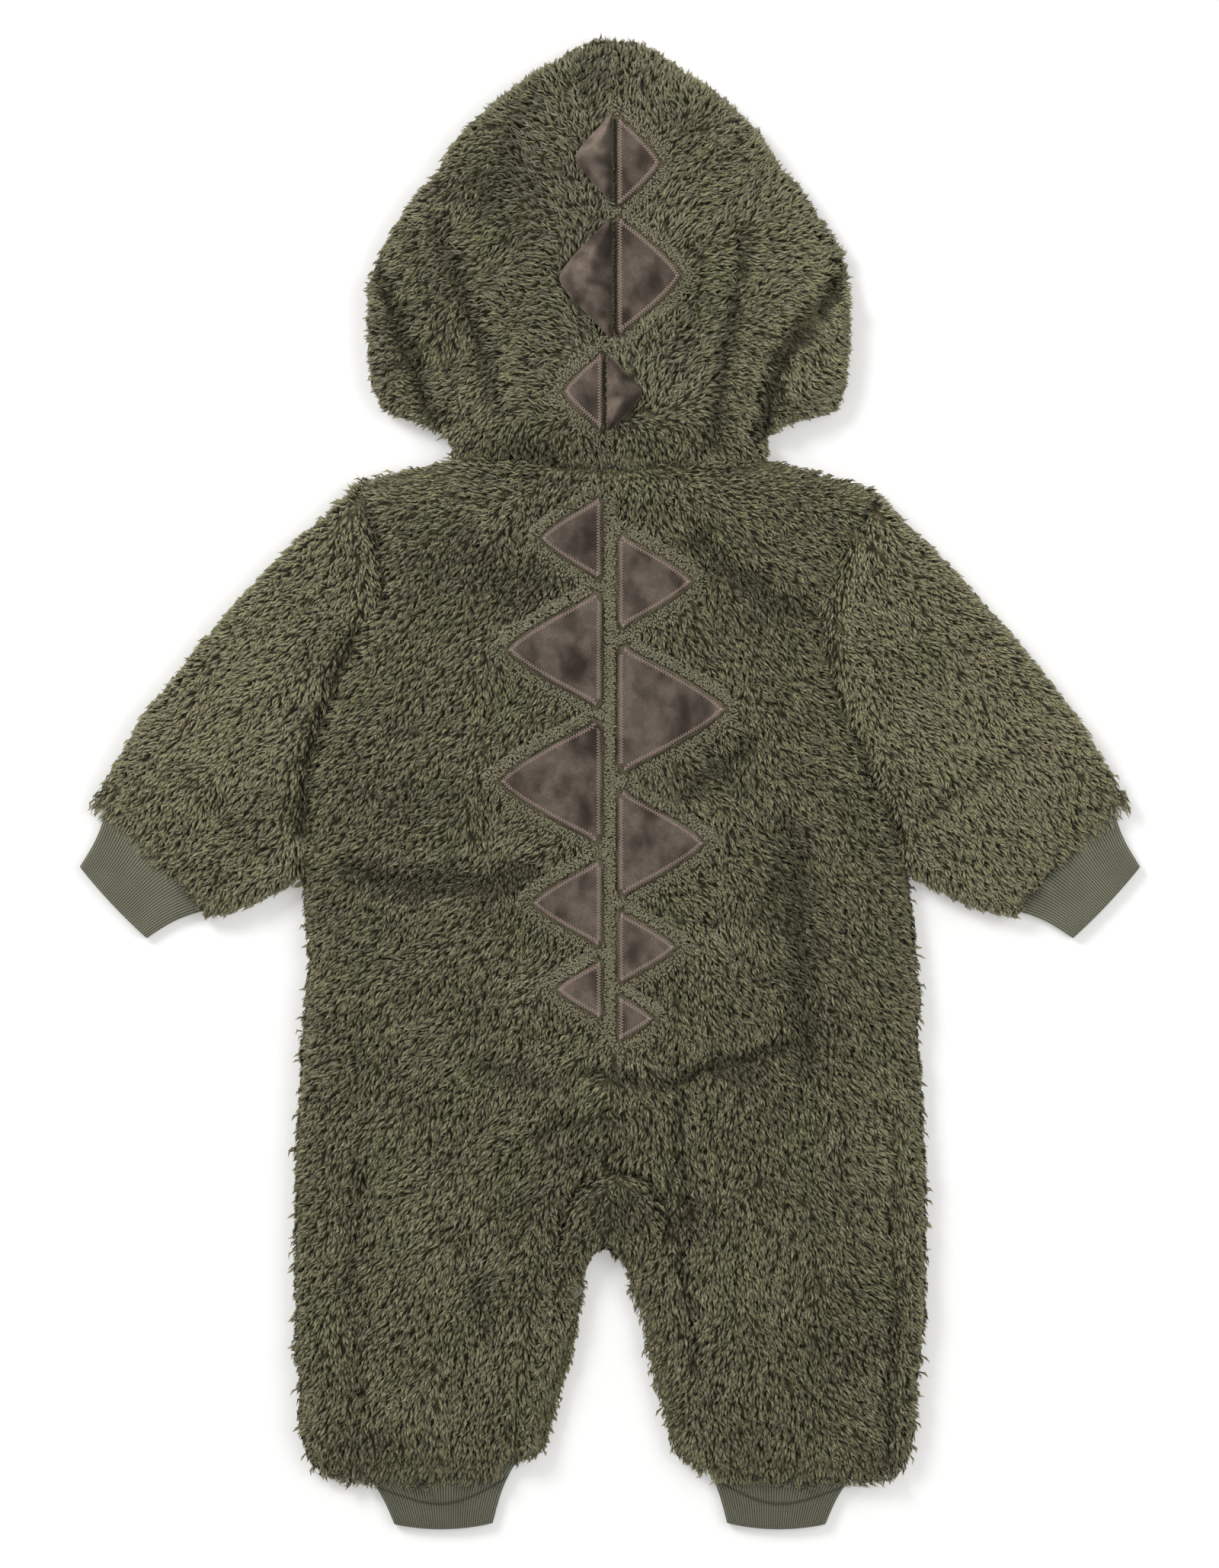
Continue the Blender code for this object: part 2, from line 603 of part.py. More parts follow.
def inseam_bands(material):
    """The placket's upper and under bands, down the inside of the left leg."""
    upper_top, upper_floor, under_floor, under_top = [], [], [], []
    floor = BACK_FLOOR + STUD_ROOM
    for y, seam, upper_edge, under_edge in PLACKET_ROWS:
        xs = [lerp_one(seam, upper_edge, u) for u in (0.0, 0.4, 0.8, 1.0)]
        upper_top.append([(x, y, max(body_top(x, y), floor + BAND_TOP)) for x in xs[:-1]]
                         + [(xs[-1], y, floor + BAND_EDGE)])
        upper_floor.append([(x, y, floor) for x in xs])
        xs = [lerp_one(seam, under_edge, u) for u in (0.0, 0.5, 0.85, 1.0)]
        under_floor.append([(x, y, body_under(x, y)) for x in xs])
        under_top.append([(x, y, PILE_WALL) for x in xs])
    return (wall("inseam_placket_over", upper_top, upper_floor, material),
            wall("inseam_placket_under", under_floor, under_top, material))


def front_placket(material):
    """The band that closes the centre front, held back from the floor by its studs."""
    half = FRONT_PLACKET_HALF
    outer, inner = [], []
    for y in (FRONT_ARCH_TOP + SEAM_GAP, *FRONT_PLACKET_ROWS, None):
        row = [(x, neck_line(x, LEFT_SHOULDER) if y is None else y) for x in (-half, 0.0, half)]
        outer.append([(x, high, STUD_ROOM) for x, high in row])
        inner.append([(x, high, PILE_WALL) for x, high in row])
    return wall("front_placket", outer, inner, material)


def press_stud(name, x, y, z, material):
    """A pressed plastic fastener: a shallow cap with a rounded rim."""
    bm = bmesh.new()
    bmesh.ops.create_cone(bm, cap_ends=True, segments=STUD_SIDES, radius1=STUD_RADIUS * 0.001,
                          radius2=(STUD_RADIUS - STUD_BEVEL) * 0.001, depth=STUD_THICK * 0.001)
    bmesh.ops.translate(bm, verts=bm.verts, vec=place(x, y, z + STUD_THICK / 2))
    return solid(name, bm, material)


def hood_height(x, y):
    """Height of a point of the hood, whose first row follows the neck seam."""
    return neck_line(x, LEFT_SHOULDER) + SEAM_GAP if y is None else y


def hood_half(side, material):
    """One side of the hood: from the centre seam out, round the edge, under to the face."""
    column = 1 if side < 0 else 2
    rows = [(None, NECK_HALF - HOOD_NECK_INSET, HOOD_NECK_Z, FACE_HALF)]
    rows += [(row[0], row[column], row[3], row[4]) for row in HOOD_ROWS]
    edge = [(-NECK_HALF, NECK_Y), *((-row[1], row[0]) for row in HOOD_ROWS)]
    edge += [*((row[2], row[0]) for row in reversed(HOOD_ROWS)), (NECK_HALF, NECK_Y)]
    outer, inner = [], []
    for y, half, middle, face in rows:
        seam = SEAM_GAP / 2
        slit_half = max(half - PILE_WALL, half * 0.45)
        points, hollow = [], []
        for u in HOOD_SPREAD:
            x, slit_x = lerp_one(seam, half, u), lerp_one(seam, slit_half, u)
            high = hood_height(x, y)
            inside = line_distance(side * x, high, edge)
            share = smooth((x - HOOD_FLAT_HALF) / (HOOD_HALF - HOOD_FLAT_HALF))
            top = lerp_one(middle, min(middle, HOOD_SIDE_Z), share)
            bend = folds_at(side * x, high, HOOD_FOLDS) * smooth((x - HOOD_FLAT_HALF) / FOLD_FADE)
            top = RIM_TOP + (top - RIM_TOP) * rise(inside, TOP_ROUND)
            top = max(top + bend * smooth(inside / FOLD_FADE), RIM_TOP) if u < 1.0 else RIM_TOP
            points.append((side * x, high, top))
            hollow.append((side * slit_x, hood_height(slit_x, y), lining_of(top)))
        for u in HOOD_RETURN:
            x, slit_x = lerp_one(face, half, u), lerp_one(face, slit_half, u)
            high = hood_height(x, y)
            inside = line_distance(side * x, high, edge) if u < 1.0 else 0.0
            points.append((side * x, high, RIM_UNDER * (1.0 - rise(inside, UNDER_ROUND))))
            hollow.append((side * slit_x, hood_height(slit_x, y), PILE_WALL))
        outer.append(points)
        inner.append(hollow)
    return wall("hood_left" if side < 0 else "hood_right", outer, inner, material)


def tooth(side, low, high, reach, base):
    """A plain rounded triangle: a straight edge by the middle and a blunt tip outwards."""
    middle = (low + high) / 2
    half = (high - low) / 2
    blunt = 0.1 * reach
    points = [(base, -half + blunt), (base + blunt * 0.6, -half)]
    for share in TOOTH_SHARES:
        points.append((base + reach * share, -half * (1.0 - share) ** 0.8))
    points.append((base + reach, 0.0))
    points += [(x, -y) for x, y in reversed(points[:-1])]
    return [(CENTRE_SEAM + side * x, middle + y) for x, y in points]


def plate(name, outline, floor, material):
    """A flat velvet shape whose stitched edge is drawn down."""
    bm = bmesh.new()
    face = bm.faces.new([bm.verts.new(place(x, y, floor)) for x, y in outline])
    face.normal_update()
    if face.normal.z < 0:
        face.normal_flip()
    low = bmesh.ops.extrude_face_region(bm, geom=[face], use_keep_orig=True)
    top = [part for part in low["geom"] if isinstance(part, bmesh.types.BMFace)]
    bmesh.ops.translate(bm, verts=top[0].verts, vec=Vector((0.0, 0.0, PLATE_RIM * 0.001)))
    bmesh.ops.inset_region(bm, faces=top, thickness=PLATE_BEVEL * 0.001,
                           depth=(PLATE_THICK - PLATE_RIM) * 0.001, use_even_offset=False)
    return solid(name, bm, material)


def ground_under(panel, outline):
    """The highest point of the panel's upper side under this outline."""
    centre = [sum(values) / len(outline) for values in zip(*outline)]
    tree = BVHTree.FromPolygons([v.co for v in panel.data.vertices],
                                [tuple(f.vertices) for f in panel.data.polygons])
    heights = []
    for scale in GROUND_SCALES:
        for a, b in zip(outline, outline[1:] + outline[:1]):
            for share in GROUND_SHARES:
                x, y = lerp(centre, lerp(a, b, share), scale)
                hit = tree.ray_cast(place(x, y, 100.0), Vector((0.0, 0.0, -1.0)))[0]
                heights.append(hit.z * 1000.0)
    return max(heights)


def fin(name, outline, floor, thick, material):
    """A padded velvet fin, folded flat over the hood from its centre seam."""
    centre = [sum(values) / len(outline) for values in zip(*outline)]
    bm = bmesh.new()
    loops = []
    for scale, share in FIN_RINGS:
        ring = [lerp(centre, point, scale) for point in outline]
        loops.append([bm.verts.new(place(x, y, floor + thick * share)) for x, y in ring])
    for lower, higher in zip(loops, loops[1:]):
        for k in range(len(lower)):
            n = (k + 1) % len(lower)
            bm.faces.new((lower[k], lower[n], higher[n], higher[k]))
    bm.faces.new(loops[0][::-1])
    tip = bm.verts.new(place(*centre, floor + thick))
    for k in range(len(outline)):
        bm.faces.new((loops[-1][k], loops[-1][(k + 1) % len(outline)], tip))
    return solid(name, bm, material)


def stitch(bm, first, second):
    """Fills the strip between two lines of (share, vertex), whatever their counts."""
    i = j = 0
    while i < len(first) - 1 or j < len(second) - 1:
        ahead = first[i + 1][0] if i < len(first) - 1 else 9.0
        beside = second[j + 1][0] if j < len(second) - 1 else 9.0
        if ahead <= beside:
            bm.faces.new((first[i][1], first[i + 1][1], second[j][1]))
            i += 1
        else:
            bm.faces.new((first[i][1], second[j + 1][1], second[j][1]))
            j += 1


def cuff(name, near, far, sag, material):
    """A flattened tube of knitted rib, its ribs raised on the upper side."""
    width = (math.dist(*near) + math.dist(*far)) / 2
    ribs = round(width / RIB_PITCH)
    spread = [k / (2 * ribs) for k in range(2 * ribs + 1)]
    bm = bmesh.new()

    def at(share, depth, z):
        x, y = lerp(lerp(*near, share), lerp(*far, share), depth)
        drop = sag * 4.0 * share * (1.0 - share) * depth ** 2
        out = Vector((far[0][0] + far[1][0] - near[0][0] - near[1][0],
                      far[0][1] + far[1][1] - near[0][1] - near[1][1])).normalized()
        return bm.verts.new(place(x + out.x * drop, y + out.y * drop, z))

    layers = {"ribbed": [], "under": [], "slit_over": [], "slit_below": []}
    middle = CUFF_WALL + SEAM_GAP / 2
    for depth in CUFF_DEPTHS:
        lift = CUFF_LIFT * (1.0 - min(depth / 0.5, 1.0)) ** 2
        end = 1.0 if depth < 1.0 else CUFF_HEM
        size = math.dist(lerp(near[0], far[0], depth), lerp(near[1], far[1], depth))
        ribbed, under, slit_over, slit_below = [], [], [], []
        for k, share in enumerate(spread):
            edge = min(share, 1.0 - share) * size
            crest = RIB_HEIGHT * (k % 2) * (1.0 if depth < 1.0 else 0.5)
            low = middle + CUFF_EDGE
            top = low + (CUFF_TOP + lift - low) * rise(edge, TOP_CURVE) * end
            ribbed.append((share, at(share, depth, top + crest)))
        for share in CUFF_SPREAD:
            edge = min(share, 1.0 - share) * size
            floor = (middle - CUFF_EDGE) * (1.0 - rise(edge, UNDER_CURVE) * end)
            under.append((share, at(share, depth, floor)))
            inside = lerp_one(CUFF_SLIT_END, 1.0 - CUFF_SLIT_END, share)
            slit_over.append((share, at(inside, depth, middle + CUFF_SLIT + lift)))
            slit_below.append((share, at(inside, depth, middle - CUFF_SLIT)))
        for layer, made in zip(layers.values(), (ribbed, under, slit_over, slit_below)):
            layer.append(made)
    for layer in layers.values():
        for low, high in zip(layer, layer[1:]):
            for k in range(len(low) - 1):
                bm.faces.new((low[k][1], low[k + 1][1], high[k + 1][1], high[k][1]))
    for row in range(len(CUFF_DEPTHS) - 1):
        for upper, lower in (("ribbed", "under"), ("slit_over", "slit_below")):
            for end in (0, -1):
                a, b = layers[upper][row][end][1], layers[upper][row + 1][end][1]
                c, d = layers[lower][row + 1][end][1], layers[lower][row][end][1]
                bm.faces.new((a, b, c, d))
    for row in (0, -1):
        stitch(bm, layers["ribbed"][row], layers["slit_over"][row])
        stitch(bm, layers["under"][row], layers["slit_below"][row])
        for end in (0, -1):
            bm.faces.new((layers["ribbed"][row][end][1], layers["slit_over"][row][end][1],
                          layers["slit_below"][row][end][1], layers["under"][row][end][1]))
    return solid(name, bm, material)


def main():
    for thing in list(bpy.data.objects):
        bpy.data.objects.remove(thing)
    fleece = cloth("pile_fleece", (0.115, 0.110, 0.064), 0.95)
    velvet = cloth("velvet", (0.055, 0.038, 0.032), 0.7)
    rib = cloth("rib_knit", (0.110, 0.122, 0.085), 0.85)
    plastic = cloth("stud_plastic", (0.26, 0.29, 0.22), 0.4)

    back = back_panel(fleece)
    gusset(fleece)
    inseam_bands(fleece)
    front_placket(fleece)
    hood = {}
    for side, word in ((-1, "left"), (1, "right")):
        front_panel(side, fleece)
        sleeve(side, fleece)
        hood[side] = hood_half(side, fleece)
        upper, lower = sleeve_edges(side)
        top, bottom = upper[-1], lower[-1]
        away = Vector((side, -WRIST_SLANT)).normalized() * SEAM_GAP
        near = [Vector(lerp(top, bottom, share)) + away for share in WRIST_SHARES]
        far = [(side * x, y) for x, y in WRIST_FAR]
        cuff(f"wrist_cuff_{word}", near, far, WRIST_SAG, rib)
        near = [(side * x, HEM_ROW[0] - SEAM_GAP) for x in ANKLE_NEAR]
        far = [(side * x, y) for x, y in ANKLE_FAR]
        cuff(f"ankle_cuff_{word}", near, far, ANKLE_SAG, rib)
    for number, (side, low, high, reach) in enumerate(PLATE_ROWS, 1):
        outline = tooth(side, low, high, reach, PLATE_BASE)
        floor = ground_under(back, outline) + SEAM_GAP
        plate(f"back_plate_{number:02d}", outline, floor, velvet)
    for number, (side, low, high, reach) in enumerate(HOOD_PATCHES, 1):
        outline = tooth(side, low, high, reach, PATCH_BASE)
        floor = ground_under(hood[side], outline) + SEAM_GAP
        plate(f"hood_patch_{number}", outline, floor, velvet)
    for number, (side, low, high, reach, thick) in enumerate(HOOD_FINS, 1):
        outline = tooth(side, low, high, reach, FIN_BASE)
        fin(f"hood_fin_{number}", outline, HOOD_FLAT_Z + SEAM_GAP, thick, velvet)
    for number, (x, y) in enumerate(INSEAM_STUDS, 1):
        press_stud(f"inseam_stud_{number}", x, y, BACK_FLOOR, plastic)
    for number, y in enumerate(FRONT_STUDS, 1):
        press_stud(f"front_stud_{number}", 0.0, y, STUD_ROOM - SEAM_GAP - STUD_THICK, plastic)


main()
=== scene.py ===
"""Looks of a baby's hooded one-piece coverall in long-pile fleece, laid flat with its back up.

It is built up as the garment is: the fleece panels, their combed pile, the rib cuffs, the
velvet plates with their zigzag stitching, the padded fins and the press studs.
Lengths are in metres in the CAD frame, with +Y towards the hood.
"""

import math

import bmesh
import bpy
import numpy as np
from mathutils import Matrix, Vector
from mathutils.bvhtree import BVHTree


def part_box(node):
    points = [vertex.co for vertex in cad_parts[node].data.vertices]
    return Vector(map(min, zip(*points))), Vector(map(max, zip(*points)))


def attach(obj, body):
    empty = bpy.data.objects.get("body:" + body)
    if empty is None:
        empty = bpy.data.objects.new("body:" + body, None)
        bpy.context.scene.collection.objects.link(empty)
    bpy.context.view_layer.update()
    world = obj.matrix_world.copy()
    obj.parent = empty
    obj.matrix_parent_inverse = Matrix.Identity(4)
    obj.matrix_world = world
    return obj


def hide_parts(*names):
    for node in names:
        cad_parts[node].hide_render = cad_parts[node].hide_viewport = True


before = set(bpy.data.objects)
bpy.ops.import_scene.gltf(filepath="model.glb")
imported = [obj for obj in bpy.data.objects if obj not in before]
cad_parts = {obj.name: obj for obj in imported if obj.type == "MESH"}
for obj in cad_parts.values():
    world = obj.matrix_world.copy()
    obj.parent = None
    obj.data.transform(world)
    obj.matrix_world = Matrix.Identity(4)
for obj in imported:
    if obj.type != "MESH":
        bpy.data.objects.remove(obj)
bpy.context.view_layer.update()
MM = 0.001


# Camera, light and floor
# The garment was photographed from straight above with a long lens, in soft light from
# the upper left, on a white ground. The frame is 592 x 761.5 mm on the garment.
FRAME_HEIGHT = 761.5 * MM
FRAME_CENTRE = (-0.2 * MM, 1.3 * MM)
CAMERA_HEIGHT = 3.0
CLOTH_LEVEL = 12.0 * MM

camera = bpy.data.objects.new("camera", bpy.data.cameras.new("camera"))
bpy.context.scene.collection.objects.link(camera)
bpy.context.scene.camera = camera
camera.location = (*FRAME_CENTRE, CAMERA_HEIGHT)
camera.data.sensor_width = 36.0
camera.data.lens = 36.0 * (CAMERA_HEIGHT - CLOTH_LEVEL) / FRAME_HEIGHT
camera.data.clip_start = 0.1
camera.data.clip_end = 20.0
bpy.context.scene.view_settings.view_transform = "Standard"

world = bpy.data.worlds.new("studio")
world.use_nodes = True
world.node_tree.nodes["Background"].inputs["Color"].default_value = (1.0, 0.99, 0.97, 1.0)
world.node_tree.nodes["Background"].inputs["Strength"].default_value = 0.55
bpy.context.scene.world = world


def softbox(name, place, size, power):
    light = bpy.data.lights.new(name, "AREA")
    light.shape = "SQUARE"
    light.size = size
    light.energy = power
    lamp = bpy.data.objects.new(name, light)
    lamp.location = place
    lamp.rotation_euler = (-Vector(place)).to_track_quat("-Z", "Y").to_euler()
    bpy.context.scene.collection.objects.link(lamp)


softbox("key_light", (-1.5, 1.5, 1.9), 0.9, 36.0)
softbox("fill_light", (1.7, 0.4, 2.2), 1.6, 19.0)

floor_mesh = bpy.data.meshes.new("floor")
floor_sheet = bmesh.new()
bmesh.ops.create_grid(floor_sheet, x_segments=1, y_segments=1, size=6.0)
floor_sheet.to_mesh(floor_mesh)
floor_sheet.free()
floor = bpy.data.objects.new("floor", floor_mesh)
bpy.context.scene.collection.objects.link(floor)
paper = bpy.data.materials.new("white_paper")
paper.use_nodes = True
PAPER = (
    # socket, value
    ("Base Color", (0.86, 0.86, 0.86, 1.0)), ("Roughness", 0.9),
    ("Emission Color", (1.0, 1.0, 1.0, 1.0)), ("Emission Strength", 0.22),
)
for socket, value in PAPER:
    paper.node_tree.nodes["Principled BSDF"].inputs[socket].default_value = value
floor_mesh.materials.append(paper)


# Fleece cloth
# The garment is cut from one long-pile fleece, a knitted backing with brushed polyester
# pile on its face. The backing is olive with taupe patches, with painted shade under long pile.


def new_material(name, roughness, sheen=0.0, sheen_roughness=0.5, sheen_tint=(1, 1, 1)):
    material = bpy.data.materials.new(name)
    material.use_nodes = True
    shader = material.node_tree.nodes["Principled BSDF"]
    shader.inputs["Roughness"].default_value = roughness
    shader.inputs["Sheen Weight"].default_value = sheen
    shader.inputs["Sheen Roughness"].default_value = sheen_roughness
    shader.inputs["Sheen Tint"].default_value = (*sheen_tint, 1.0)
    shader.inputs["Specular IOR Level"].default_value = 0.2
    return material, material.node_tree, shader


def add_node(tree, kind, **settings):
    node = tree.nodes.new(kind)
    for key, value in settings.items():
        setattr(node, key, value)
    return node


def join(tree, source, target):
    tree.links.new(source, target)


def sums(tree, operation, first, second=None):
    """A Math node whose inputs are sockets or numbers."""
    node = add_node(tree, "ShaderNodeMath", operation=operation)
    for socket, value in zip(node.inputs, (first, second)):
        if isinstance(value, (int, float)):
            socket.default_value = value
        elif value is not None:
            join(tree, value, socket)
    return node.outputs[0]


def blended(tree, share, low, high, kind="MIX"):
    """A colour mix whose colours are sockets or tuples."""
    node = add_node(tree, "ShaderNodeMix", data_type="RGBA", blend_type=kind)
    if isinstance(share, (int, float)):
        node.inputs[0].default_value = share
    else:
        join(tree, share, node.inputs[0])
    for socket, value in ((node.inputs[6], low), (node.inputs[7], high)):
        if isinstance(value, tuple):
            socket.default_value = (*value, 1.0)
        else:
            join(tree, value, socket)
    return node.outputs[2]


def ranged(tree, value, low, high, to_low, to_high):
    node = add_node(tree, "ShaderNodeMapRange", interpolation_type="SMOOTHSTEP")
    join(tree, value, node.inputs["Value"])
    for name, number in (("From Min", low), ("From Max", high), ("To Min", to_low), ("To Max", to_high)):
        node.inputs[name].default_value = number
    return node.outputs["Result"]


def speckle(tree, scale, detail=2.0, stretch=(1, 1, 1), turn=0.0):
    """Noise on Object coordinates, stretched and turned in the garment's plane."""
    place = add_node(tree, "ShaderNodeTexCoord")
    mapping = add_node(tree, "ShaderNodeMapping")
    mapping.inputs["Scale"].default_value = stretch
    mapping.inputs["Rotation"].default_value = (0.0, 0.0, turn)
    join(tree, place.outputs["Object"], mapping.inputs["Vector"])
    noise = add_node(tree, "ShaderNodeTexNoise")
    noise.inputs["Scale"].default_value = scale
    noise.inputs["Detail"].default_value = detail
    join(tree, mapping.outputs["Vector"], noise.inputs["Vector"])
    return noise.outputs["Fac"]


def raised(tree, shader, height, depth, strength=1.0):
    bump = add_node(tree, "ShaderNodeBump")
    bump.inputs["Distance"].default_value = depth
    bump.inputs["Strength"].default_value = strength
    join(tree, height, bump.inputs["Height"])
    join(tree, bump.outputs["Normal"], shader.inputs["Normal"])


OLIVE = (0.214, 0.206, 0.104)
TAUPE = (0.232, 0.203, 0.113)

backing, tree, shader = new_material("fleece_backing", 0.95, sheen=0.2)
fuzz = speckle(tree, 700.0, detail=3.0, stretch=(1.0, 0.3, 1.0), turn=0.4)
patches = ranged(tree, speckle(tree, 45.0), 0.42, 0.58, 0.0, 1.0)
ground = blended(tree, patches, OLIVE, TAUPE)
# Painted shade, with the fuzz, darkens the backing where the long pile stands over it
fuzz_and_painted_shade = ranged(tree, fuzz, 0.3, 0.7, 0.50, 1.0)
shorn = add_node(tree, "ShaderNodeAttribute", attribute_name="shorn")
deep = blended(tree, 1.0, ground, fuzz_and_painted_shade, "MULTIPLY")
short = blended(tree, fuzz, (0.115, 0.105, 0.062), (0.235, 0.215, 0.135))
join(tree, blended(tree, shorn.outputs["Fac"], deep, short), shader.inputs["Base Color"])
raised(tree, shader, fuzz, 1.2 * MM)


# Velvet outlines
# The plates and patches are cut from velvet in plain rounded triangles. Their outlines
# are needed first, because the pile is left out under them and combed short beside them.
PLATES = [f"back_plate_{k:02d}" for k in range(1, 11)] + [f"hood_patch_{k}" for k in (1, 2, 3)]
FINS = [f"hood_fin_{k}" for k in (1, 2, 3)]
TOOTH_CURVE = 0.8
BLUNT = 0.1


def tooth_outline(node, steps=9):
    """The rounded triangle that fills the node's box, from its straight edge round."""
    low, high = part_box(node)
    side = 1.0 if low.x + high.x > 0 else -1.0
    base = low.x if side > 0 else high.x
    reach = high.x - low.x
    middle, half = (low.y + high.y) / 2, (high.y - low.y) / 2
    blunt = BLUNT * reach
    points = [(0.0, -half + blunt), (blunt * 0.25, -half + blunt * 0.25), (blunt * 0.8, -half)]
    for k in range(1, steps):
        share = k / steps
        points.append((reach * share, -half * (1.0 - share) ** TOOTH_CURVE))
    points.append((reach, 0.0))
    points += [(x, -y) for x, y in reversed(points[:-1])]
    return np.array([(base + side * x, middle + y) for x, y in points])


outlines = {node: tooth_outline(node) for node in PLATES + FINS}


def distance_outside(points, outline):
    """Distance of points from a closed outline, negative inside, and the way out."""
    best = np.full(len(points), 1e9)
    out = np.zeros_like(points)
    inside = np.zeros(len(points), bool)
    for a, b in zip(outline, np.roll(outline, -1, axis=0)):
        edge = b - a
        along = np.clip(((points - a) @ edge) / (edge @ edge), 0, 1)
        away = points - a - along[:, None] * edge
        far = np.hypot(*away.T)
        closer = far < best
        best[closer] = far[closer]
        out[closer] = away[closer] / np.maximum(far[closer], 1e-9)[:, None]
        crosses = (a[1] > points[:, 1]) != (b[1] > points[:, 1])
        at = a[0] + (points[:, 1] - a[1]) / (b[1] - a[1] if b[1] != a[1] else 1e-12) * edge[0]
        inside ^= crosses & (points[:, 0] < at)
    best[inside] *= -1
    out[inside] *= -1
    return best, out


def gap_to_velvet(points, nodes=PLATES):
    """Distance of points from the nearest velvet edge, and the way away from it."""
    gap = np.full(len(points), 1.0)
    out = np.zeros_like(points)
    for node in nodes:
        away, way = distance_outside(points, outlines[node])
        closer = away < gap
        gap[closer], out[closer] = away[closer], way[closer]
    return gap, out


def eased(share):
    share = np.clip(share, 0, 1)
    return share * share * (3 - 2 * share)


# Creases
# The laid garment has soft creases across the seat and down the leg, deep folds where the
# hood's sides turn under, and grooves where the pile is caught in the seams. They are
# placed along lines read off the garment, and are uneven in width and depth.
CREASES = (
    # width, depth, line of (x, y) in mm, with y up from the ankle cuffs' hem
    (5.0, 4.4, ((-119, 501), (-111, 483), (-108, 466), (-109, 453))),
    (7.0, 4.2, ((-122, 440), (-127, 430), (-133, 410), (-138, 396), (-146, 377), (-149, 345))),
    (4.0, 2.8, ((126, 500), (116, 480), (109, 458), (107, 436))),
    (5.0, 3.0, ((107, 430), (109, 408), (116, 386), (127, 363), (140, 340))),
    (6.0, 8.0, ((110, 612), (100, 598), (88, 584), (80, 570), (75, 553), (72, 534))),
    (6.0, 2.6, ((85, 659), (97, 641), (105, 625), (109, 612))),
    (7.0, 3.0, ((60, 626), (56, 591), (50, 561), (48, 530))),
    (6.0, 4.6, ((-109, 619), (-100, 591), (-91, 565), (-80, 540))),
    (7.0, 3.2, ((-80, 634), (-67, 603), (-57, 576), (-51, 549))),
    (3.6, 1.2, ((-79, 513), (-49, 512), (-22, 514), (8, 516), (39, 515), (82, 518))),
    (5.0, 3.2, ((-9, 227), (26, 219), (44, 228), (66, 233), (89, 241))),
    (7.0, 1.3, ((-64, 232), (-40, 222), (-14, 224))),
    (6.0, 2.0, ((-34, 196), (-20, 203), (2, 204))),
    (5.0, 2.6, ((32, 217), (31, 190), (37, 163), (35, 133), (39, 111), (43, 80))),
    (4.0, 4.4, ((-25, 140), (-22, 157), (-12, 171), (0, 178), (14, 176), (25, 163), (29, 146))),
    (4.0, 2.6, ((134, 212), (137, 150), (136, 90), (133, 34))),
    (7.0, 1.8, ((-120, 174), (-123, 120), (-121, 60))),
    (8.0, 1.8, ((92, 330), (70, 306), (46, 298))),
    (9.0, 2.4, ((84, 345), (88, 300), (92, 255), (94, 238))),
    (6.0, 2.6, ((31, 361), (50, 372), (68, 387))),
    (8.0, 2.0, ((40, 486), (70, 462), (106, 439))),
    (7.0, 2.0, ((-205, 372), (-186, 350), (-168, 332))),
    (7.0, 2.2, ((196, 382), (172, 366), (152, 352))),
    (8.0, 1.8, ((-76, 150), (-62, 128), (-58, 100))),
    (8.0, 2.8, ((-121, 323), (-90, 316), (-60, 318), (-36, 323))),
    (8.0, 1.8, ((-30, 700), (-44, 676), (-52, 648))),
    (8.0, 1.8, ((30, 560), (38, 590), (36, 620))),
)
HEM_LEVEL = 361.5  # mm from the ankle cuffs' hem to the middle of the garment


def waves(x, y, size, seed, count=7):
    """Slow random waves over the garment, about -1 to 1, of this size."""
    rng = np.random.default_rng(seed)
    total = np.zeros(len(x))
    for _ in range(count):
        turn, phase = rng.uniform(0, 2 * math.pi, 2)
        pitch = size * rng.uniform(0.7, 1.6)
        total += np.sin(2 * math.pi * (x * math.cos(turn) + y * math.sin(turn)) / pitch + phase)
    return total / math.sqrt(count)


def crease_at(x, y):
    """How deep the creases draw the pile down, and how far it swells up beside them."""
    drop, swell = np.zeros(len(x)), np.zeros(len(x))
    for number, (width, depth, line) in enumerate(CREASES):
        points = np.array(line) * MM - (0, HEM_LEVEL * MM)
        uneven = 1.0 + 0.28 * waves(x, y, 14 * MM, 200 + number, 3)
        for a, b in zip(points, points[1:]):
            edge = b - a
            share = np.clip(((x - a[0]) * edge[0] + (y - a[1]) * edge[1]) / (edge @ edge), 0, 1)
            far = np.hypot(x - a[0] - share * edge[0], y - a[1] - share * edge[1])
            drop = np.maximum(drop, depth * MM * uneven * np.exp(-(far * uneven / (width * MM * 0.6)) ** 2))
            beside = (far - 1.5 * width * MM) / (0.7 * width * MM)
            swell = np.maximum(swell, 0.3 * depth * MM * uneven * np.exp(-beside ** 2))
    return drop, np.maximum(swell - drop, 0)


